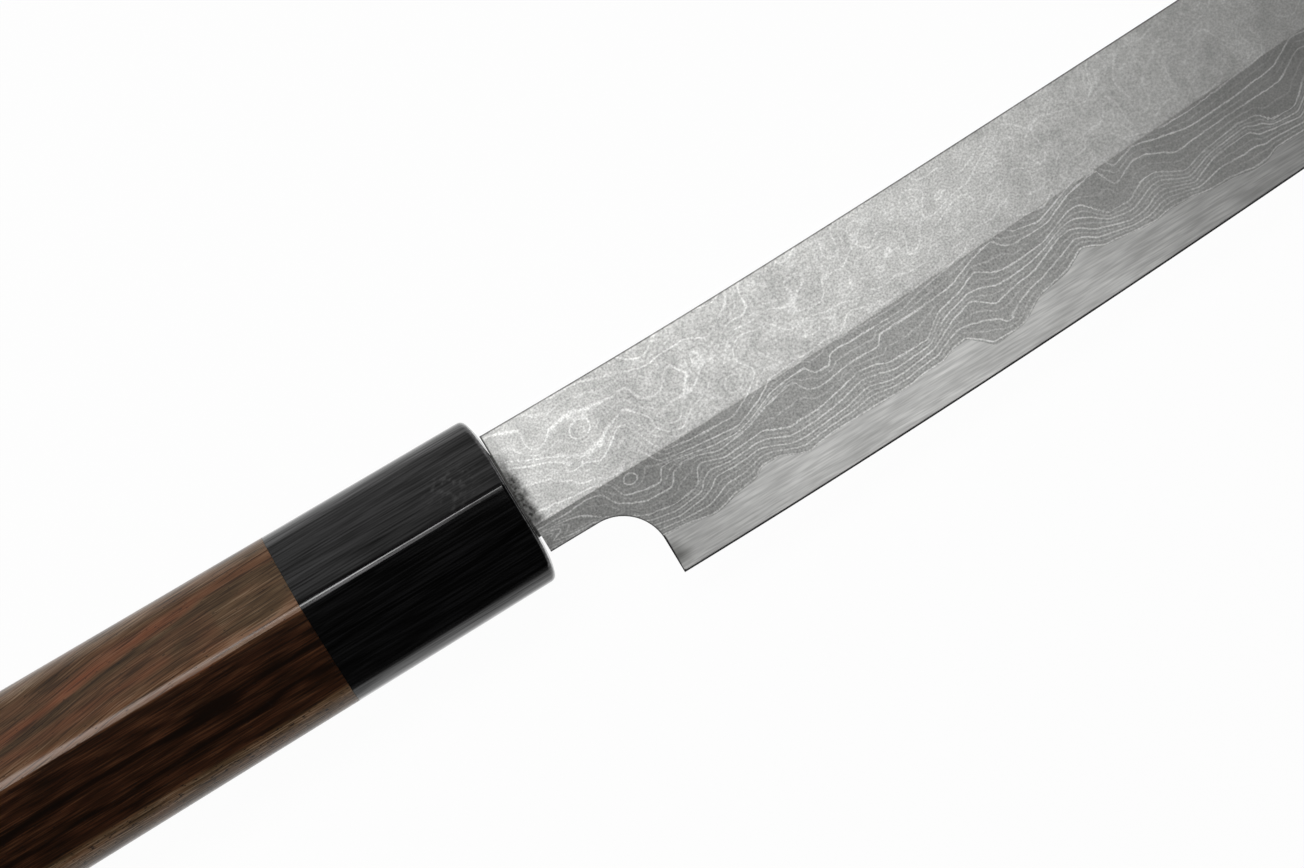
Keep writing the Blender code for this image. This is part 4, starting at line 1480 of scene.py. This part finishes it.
            # painted light and shade: paler on the upper flat, darker on the lower, pale again on the lower
            # rim
            value = self.lower[tone] + (self.upper[tone] - self.lower[tone]) * above
            value = value + (self.rim[tone] - value) * on_lit_rim
            values.append(value + (self.back[tone] - value) * behind)
        for streak in self.streaks:
            places, heights = np.array(streak.points).T
            away = up + bend - np.interp(along, places, heights)
            share = np.exp(-(away / streak.half_width) ** 2)
            share = share * smooth_step((along - places[0]) / self.fade + (places[0] < self.run_on))
            share = share * smooth_step((places[-1] - along) / self.fade)
            values = [values[0] + streak.pale * share, values[1] + streak.red * share]
        clouds = self.cloud * random_waves(along / self.drawn_out, up, self.cloud_lengths, self.cloud_seed)
        red = np.clip(values[1] + self.cloud_redness * clouds, 0.0, 1.0)
        return {"pale": values[0] + clouds, "red": red, "end": end}


@dataclass(frozen=True)
class Plug:
    """A round plug hidden in the handle: where it starts and ends along the handle, and its radius."""

    back: float
    front: float
    radius: float

    @classmethod
    def of(cls, node: str) -> "Plug":
        """Measures the plug on its CAD box."""
        low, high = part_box(node)
        return cls(low.x, high.x, (high.z - low.z) / 2)


@dataclass
class Handle:
    """The handle: a grip with two planed flats that meet in a ridge, its collar, and the hidden plugs.

    Widths, turns and tilts of the ridge hold for the butt, the grip's front and the collar's front. The
    collar's scuffs lie behind its front, above the axis and under the ridge's height by scuffs_at.
    """

    blade: BladeShape
    ferrule_back: float
    dowel: Plug
    bedding: Plug
    fit_gap: float = 0.3 * MM
    height_butt: float = 28.5 * MM
    height_front: float = 25.0 * MM
    thickness_butt: float = 23.2 * MM
    thickness_front: float = 20.4 * MM
    ridge_above_axis: float = 1.68 * MM
    ridge_widths: tuple[float, float, float] = (1.7 * MM, 0.60 * MM, 0.38 * MM)
    ridge_turns: tuple[float, float, float] = (0.90 * MM, 0.15 * MM, 0.06 * MM)
    ridge_tilts: tuple[float, float, float] = (0.26, 0.08, 0.0)
    oval_share: float = 0.662
    side_squareness: float = 2.8
    flat_share: float = 0.815
    flat_crown: float = 0.20 * MM
    crown_onset: float = 3.0
    lower_crown: float = 0.34 * MM
    back_squareness: float = 2.3
    ferrule_rounding: float = 0.7 * MM
    ferrule_sweep: float = 0.9 * MM
    sweep_squareness: float = 5.0
    butt_rounding: float = 1.6 * MM
    visible_seam: float = 0.03 * MM
    scuffs_at: tuple[float, float, float] = (6.5 * MM, 4.8 * MM, 1.7 * MM)
    sharp_degrees: float = 13.0
    flat_steps: int = 70
    side_steps: int = 20
    back_steps: int = 24
    rounding_steps: int = 9
    collar_rings: int = 12
    grip_rings: int = 150
    butt_rings: int = 16

    @property
    def length(self) -> float:
        """The handle's length, with the collar."""
        return self.blade.handle_length

    def section(self, x: np.ndarray, inset: np.ndarray) -> np.ndarray:
        """The D section at each x, shrunk evenly by inset.

        Sides and back are squared-off ovals. Two flats are planed on the front: each runs from the ridge
        to where it meets the side, at flat_share of the half height, with a slight crown 4s(1 - s), which
        on the upper one sets in as crown_onset times the share of the way. The upper flat also leaves
        the ridge at a slight tilt and turns down as r log(1 + exp((t - w) / r)), with t the way from the
        ridge, w the ridge's width and r the turn's length.

        Args:
            x: places along the handle.
            inset: how far the section is drawn in at each place.

        Returns:
            A (places, points, 3) array, once round from the ridge over the upper side.
        """
        along = x[:, None] / self.length
        inset = inset[:, None]
        half_height = (self.height_butt + (self.height_front - self.height_butt) * along) / 2 - inset
        half_thick = (self.thickness_butt + (self.thickness_front - self.thickness_butt) * along) / 2
        oval = half_thick * self.oval_share - inset
        top = half_thick - inset
        ridge = self.ridge_above_axis
        stations = (0.0, self.ferrule_back, self.length)
        width = np.interp(x, stations, self.ridge_widths)[:, None]
        turn = np.interp(x, stations, self.ridge_turns)[:, None]
        tilt = np.interp(x, stations, self.ridge_tilts)[:, None]
        flat_end = half_height * self.flat_share

        def squared_oval(q: np.ndarray, squareness: float) -> np.ndarray:
            """Height (1 - q^n)^(1/n) of a squared-off oval at q of its half width."""
            return (1 - q ** squareness) ** (1 / squareness)

        meet = oval * squared_oval(self.flat_share, self.side_squareness)

        share = np.arange(self.flat_steps) / self.flat_steps
        upper_y = ridge + (flat_end - ridge) * share ** 2

        def turned_down(travel: np.ndarray) -> np.ndarray:
            """Fall of the upper flat over a distance from the ridge, at a slope of 1."""
            bent = turn * (np.logaddexp(0, (travel - width) / turn) - np.logaddexp(0, -width / turn))
            return tilt * travel + (1 - tilt) * bent

        upper_z = top + (meet - top) * turned_down(upper_y - ridge) / turned_down(flat_end - ridge)
        onset = np.minimum(share * self.crown_onset, 1)
        upper_z = upper_z + self.flat_crown * 4 * share ** 2 * (1 - share ** 2) * onset
        lower_share = (share + 1 / self.flat_steps)[::-1] ** 2
        lower_y = ridge + (-flat_end - ridge) * lower_share
        lower_z = top + (meet - top) * lower_share + self.lower_crown * 4 * lower_share * (1 - lower_share)

        start = math.asin(self.flat_share)
        rise = start + (math.pi / 2 - start) * np.arange(self.side_steps) / self.side_steps
        fall = rise[::-1] + (math.pi / 2 - start) / self.side_steps
        quarter = np.arange(self.back_steps) / self.back_steps * math.pi / 2
        rising, falling = np.sin(quarter), np.cos(quarter)

        y = (upper_y, half_height * np.sin(rise), half_height * falling, -half_height * rising,
             -half_height * np.sin(fall), lower_y)
        z = (upper_z, oval * squared_oval(np.sin(rise), self.side_squareness),
             -half_thick * squared_oval(falling, self.back_squareness),
             -half_thick * squared_oval(rising, self.back_squareness),
             oval * squared_oval(np.sin(fall), self.side_squareness), lower_z)
        y, z = np.concatenate(y, axis=1), np.concatenate(z, axis=1)
        return np.stack((np.broadcast_to(x[:, None], y.shape), y, z), axis=-1)

    def round_hole(self, x: float, radius: float) -> np.ndarray:
        """A ring of a round bore, its points at the same angles as the section's.

        Args:
            x: where along the handle it lies.
            radius: the bore's radius.

        Returns:
            A (points, 3) array.
        """
        outer = self.section(np.array([x]), np.zeros(1))[0]
        angle = np.arctan2(outer[:, 2], outer[:, 1])
        return np.stack((np.full_like(angle, x), radius * np.cos(angle), radius * np.sin(angle)), axis=-1)

    def slot_hole(self, x: float) -> np.ndarray:
        """A ring of the tang's slot: each point lies where its ray from the slot's middle leaves it.

        That is at the lesser of the half height over the cosine and the half thickness over the sine of
        the ray's angle.

        Args:
            x: where along the handle it lies.

        Returns:
            A (points, 3) array.
        """
        outer = self.section(np.array([x]), np.zeros(1))[0]
        middle = self.blade.tang_above_axis
        half_height = self.blade.tang_half_height(self.length) + self.fit_gap
        half_thickness = self.blade.thickness_neck / 2 + self.fit_gap
        angle = np.arctan2(outer[:, 2], outer[:, 1] - middle)
        reach = np.minimum(half_height / np.maximum(np.abs(np.cos(angle)), TINY),
                           half_thickness / np.maximum(np.abs(np.sin(angle)), TINY))
        y = middle + reach * np.cos(angle)
        return np.stack((np.full_like(angle, x), y, reach * np.sin(angle)), axis=-1)

    def rounded_end(self, face: float, rounding: float, outward: int, swept: float = 0.0) -> np.ndarray:
        """Rings of a rounded rim at an end of a piece.

        With t the turn round the rim, x is face - outward r (1 - sin t) and the section is drawn in by
        r (1 - cos t). The end's upper and lower sides sweep back by swept times the share of the half
        height, raised to sweep_squareness.

        Args:
            face: where the end's face is.
            rounding: the rim's radius r.
            outward: 1 where the end faces the blade, -1 where it faces away.
            swept: how far the end sweeps back at its sides.

        Returns:
            The rings, from the outside in.
        """
        turn = np.linspace(0, math.pi / 2, self.rounding_steps)
        x = face - outward * rounding * (1 - np.sin(turn))
        rings = self.section(x, rounding * (1 - np.cos(turn)))
        share = np.abs(rings[..., 1]) / (self.height_front / 2)
        rings[..., 0] -= swept * share ** self.sweep_squareness
        return rings

    def build_ferrule(self) -> None:
        """The collar: one closed skin from the outside over the slotted front into the bore."""
        back = self.ferrule_back + self.visible_seam
        front = self.length - self.ferrule_rounding - 2 * self.ferrule_sweep
        body = np.linspace(back, front, self.collar_rings)
        dowel_end = self.dowel.front + self.fit_gap
        bore = self.dowel.radius + self.fit_gap
        rings = np.concatenate((
            self.section(body, np.zeros_like(body)),
            self.rounded_end(self.length, self.ferrule_rounding, 1, self.ferrule_sweep),
            self.slot_hole(self.length)[None], self.slot_hole(dowel_end)[None],
            self.round_hole(dowel_end, bore)[None], self.round_hole(back, bore)[None]))
        mesh = loft_mesh("collar", rings, closed=True, sharp_degrees=self.sharp_degrees)
        behind, above, under = self.scuffs_at
        scuffed = (self.length - behind, above, self.thickness_front / 2 - under)
        add_piece("collar", mesh, BlackWood(scuffed).build(), "ferrule")

    def build_grip(self) -> None:
        """The grip: from the middle of the butt over the outside, and in through both bores."""
        front = self.ferrule_back
        body = np.linspace(self.butt_rounding, front, self.grip_rings)[1:]
        bore = self.dowel.radius + self.fit_gap
        deep = self.bedding.radius + self.fit_gap
        step_at = self.dowel.back - self.fit_gap
        bottom = self.bedding.back - self.fit_gap
        rim = self.rounded_end(0.0, self.butt_rounding, -1)[::-1]
        shares = np.linspace(0, 1, self.butt_rings, endpoint=False)[:, None, None]
        rings = np.concatenate((
            rim[0] * shares, rim,
            self.section(body, np.zeros_like(body)),
            self.round_hole(front, bore)[None], self.round_hole(step_at, bore)[None],
            self.round_hole(step_at, deep)[None], self.round_hole(bottom, deep)[None],
            self.round_hole(bottom, 0.0)[None]))
        x, y, z = np.moveaxis(rings, -1, 0)
        along = (x - self.length) / MM
        wood = WoodFigure(self.ridge_above_axis / MM)
        layers = wood.read(along, y / MM, z / MM)
        step = np.linalg.norm(np.roll(rings, -1, axis=1) - rings, axis=-1)
        around = np.cumsum(step, axis=1) - step
        upper = np.arange(around.shape[1]) <= self.flat_steps + self.side_steps + self.back_steps
        layers["across_grain"] = np.where(upper, around - wood.climb(along) * MM,
                                          around - step.sum(axis=1, keepdims=True))
        mesh = loft_mesh("grip", rings, layers=layers, sharp_degrees=self.sharp_degrees)
        add_piece("grip", mesh, Rosewood().build(), "handle_grip")

    def dress_hidden(self) -> None:
        """Finishes the CAD dowel and bedding, which stay as they are."""
        for node, finish in (("joint_dowel", PlainHardwood()), ("tang_bedding", CastResin())):
            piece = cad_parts[node]
            piece.data.materials.clear()
            piece.data.materials.append(finish.build())
            log.info("%s: CAD piece dressed", node)

    def build(self) -> None:
        """Makes and dresses the whole handle."""
        self.build_ferrule()
        self.build_grip()
        self.dress_hidden()


@dataclass(frozen=True)
class SoftLight:
    """A flat rectangular lamp that points at the knife. Radiance 1 is white."""

    name: str
    place: tuple[float, float, float]
    target: tuple[float, float, float]
    width: float
    depth: float
    radiance: float

    def build(self) -> None:
        """Hangs the lamp. A lamp's power is its radiance times pi times its area."""
        lamp = bpy.data.lights.new(self.name, "AREA")
        lamp.shape = "RECTANGLE"
        lamp.size, lamp.size_y = self.width, self.depth
        lamp.energy = self.radiance * math.pi * self.width * self.depth
        holder = bpy.data.objects.new(self.name, lamp)
        forward = np.array(self.target) - np.array(self.place)
        forward = forward / np.linalg.norm(forward)
        across = np.cross(forward, (0.0, 1.0, 0.0))
        across = across / np.linalg.norm(across)
        upward = np.cross(across, forward)
        turned = Matrix((across, upward, -forward)).transposed()
        holder.matrix_world = Matrix.Translation(self.place) @ turned.to_4x4()
        holder.visible_camera = False
        bpy.context.scene.collection.objects.link(holder)


@dataclass(frozen=True)
class Studio:
    """The plain stage: a white table, soft lamps and a camera that looks straight down.

    The camera looks down on middle, and sees view_width metres along the picture's longer side. The
    backdrop's two values are its light on matt surfaces and in reflections. Its top and the ceiling's
    fade are heights from 0 at the horizon to 1 overhead.
    """

    floor_height: float
    floor_size: float = 8.0
    middle: tuple[float, float] = (0.16534, -0.00239)
    turned_degrees: float = -31.07
    camera_height: float = 1.2
    view_width: float = 0.1768
    sensor_width: float = 36.0
    view_end: float = 100.0
    floor_colour: str = "E8E8E8"
    floor_glow: float = 0.97
    floor_lit: float = 0.5
    backdrop: tuple[float, float] = (0.6, 1.0)
    backdrop_top: float = 0.24
    above_backdrop: float = 0.012
    ceiling: float = 0.2
    ceiling_fade: tuple[float, float] = (0.84, 0.95)
    lamps: tuple[SoftLight, ...] = (
        SoftLight("overhead_strip", (-0.022, 0.004, 0.30), (-0.022, 0.004, 0.0), 0.56, 0.03, 2.25),
        SoftLight("shoulder_lamp", (0.118, 0.125, 0.30), (0.118, 0.0, 0.0), 0.28, 0.10, 6.2),
        SoftLight("bevel_lamp", (0.216, -0.157, 0.35), (0.2035, -0.008, 0.0), 0.10, 0.10, 1.12),
        SoftLight("side_lamp", (0.10, 0.75, 0.30), (0.10, 0.0, 0.0), 1.2, 0.3, 0.41),
    )

    def build_floor(self) -> None:
        """A white table, which keeps a little of the object's shadow."""
        half = self.floor_size / 2
        square = ((-half, -half), (half, -half), (half, half), (-half, half))
        mesh = bpy.data.meshes.new("table")
        mesh.from_pydata([(x, y, self.floor_height) for x, y in square], [], [(0, 1, 2, 3)])
        table = bpy.data.objects.new("table", mesh)
        bpy.context.scene.collection.objects.link(table)
        table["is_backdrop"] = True
        made = bpy.data.materials.new("white_table")
        made.use_nodes = True
        tree = made.node_tree
        tree.nodes.remove(tree.nodes["Principled BSDF"])
        rays = add_node(tree, Node.RAY).node.outputs
        seen = add_node(tree, Node.MATH, (rays["Is Camera Ray"], rays["Is Glossy Ray"]), operation="MAXIMUM")
        seen = add_node(tree, Node.MATH, (seen, rays["Is Transmission Ray"]), operation="MAXIMUM")
        seen = add_node(tree, Node.RANGE, (seen, 0.0, 1.0, self.floor_lit, self.floor_glow))
        matt = add_node(tree, Node.MATT, {"Color": linear(self.floor_colour)})
        glow = add_node(tree, Node.GLOW, {"Color": (1, 1, 1, 1), "Strength": 1.0})
        surface = add_node(tree, Node.MIX_SHADERS, (seen, matt, glow))
        tree.links.new(surface, tree.nodes["Material Output"].inputs["Surface"])
        mesh.materials.append(made)

    def build_world(self) -> None:
        """A dim room with a white backdrop round it, white wherever the camera sees it directly."""
        world = bpy.data.worlds.new("room")
        bpy.context.scene.world = world
        world.use_nodes = True
        tree = world.node_tree
        rays = add_node(tree, Node.RAY).node.outputs
        height = add_node(tree, Node.PARTS, (add_node(tree, Node.PLACE, out="Generated"),), "Z")
        backdrop = add_node(tree, Node.RANGE, (rays["Is Glossy Ray"], 0.0, 1.0, *self.backdrop))
        backdrop = add_node(tree, Node.RANGE, (height, 0.0, self.backdrop_top, backdrop, self.above_backdrop),
                            **SMOOTH)
        ceiling = add_node(tree, Node.RANGE, (height, *self.ceiling_fade, 0.0, self.ceiling), **SMOOTH)
        room = add_node(tree, Node.MATH, (backdrop, ceiling), operation="ADD")
        strength = add_node(tree, Node.MATH, (room, rays["Is Camera Ray"]), operation="MAXIMUM")
        background = tree.nodes["Background"]
        background.inputs["Color"].default_value = (1, 1, 1, 1)
        tree.links.new(strength, background.inputs["Strength"])

    def build_camera(self) -> None:
        """A long lens straight above, turned so that the handle points down to the left."""
        lens = bpy.data.cameras.new("camera")
        lens.sensor_width = self.sensor_width
        lens.lens = lens.sensor_width * self.camera_height / self.view_width
        lens.clip_end = self.view_end
        holder = bpy.data.objects.new("camera", lens)
        turned = Matrix.Rotation(math.radians(self.turned_degrees), 4, "Z")
        holder.matrix_world = Matrix.Translation((*self.middle, self.camera_height)) @ turned
        bpy.context.scene.collection.objects.link(holder)
        bpy.context.scene.camera = holder

    def build(self) -> None:
        """Sets the whole stage."""
        self.build_floor()
        self.build_world()
        self.build_camera()
        for lamp in self.lamps:
            lamp.build()
        bpy.context.scene.view_settings.view_transform = "Standard"


def corners(bounds: Iterable[Iterable[float]]) -> list[list[float]]:
    """The two corners of a box as plain lists of numbers."""
    return [[float(value) for value in corner] for corner in bounds]


def main() -> None:
    """Builds the looks in order."""
    logging.basicConfig(level=logging.INFO, format="%(message)s")
    cad_bounds = corners(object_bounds())
    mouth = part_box("ferrule")[1].x
    grip_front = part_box("handle_grip")[1].x
    shape = BladeShape(handle_length=mouth, length=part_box("blade_core_steel")[1].x - mouth)
    Blade(shape, ForgedLayers(shape)).build()
    Handle(shape, grip_front, Plug.of("joint_dowel"), Plug.of("tang_bedding")).build()
    Studio(floor_height=cad_bounds[0][2] - FLOOR_GAP).build()


if __name__ == "__main__":
    main()
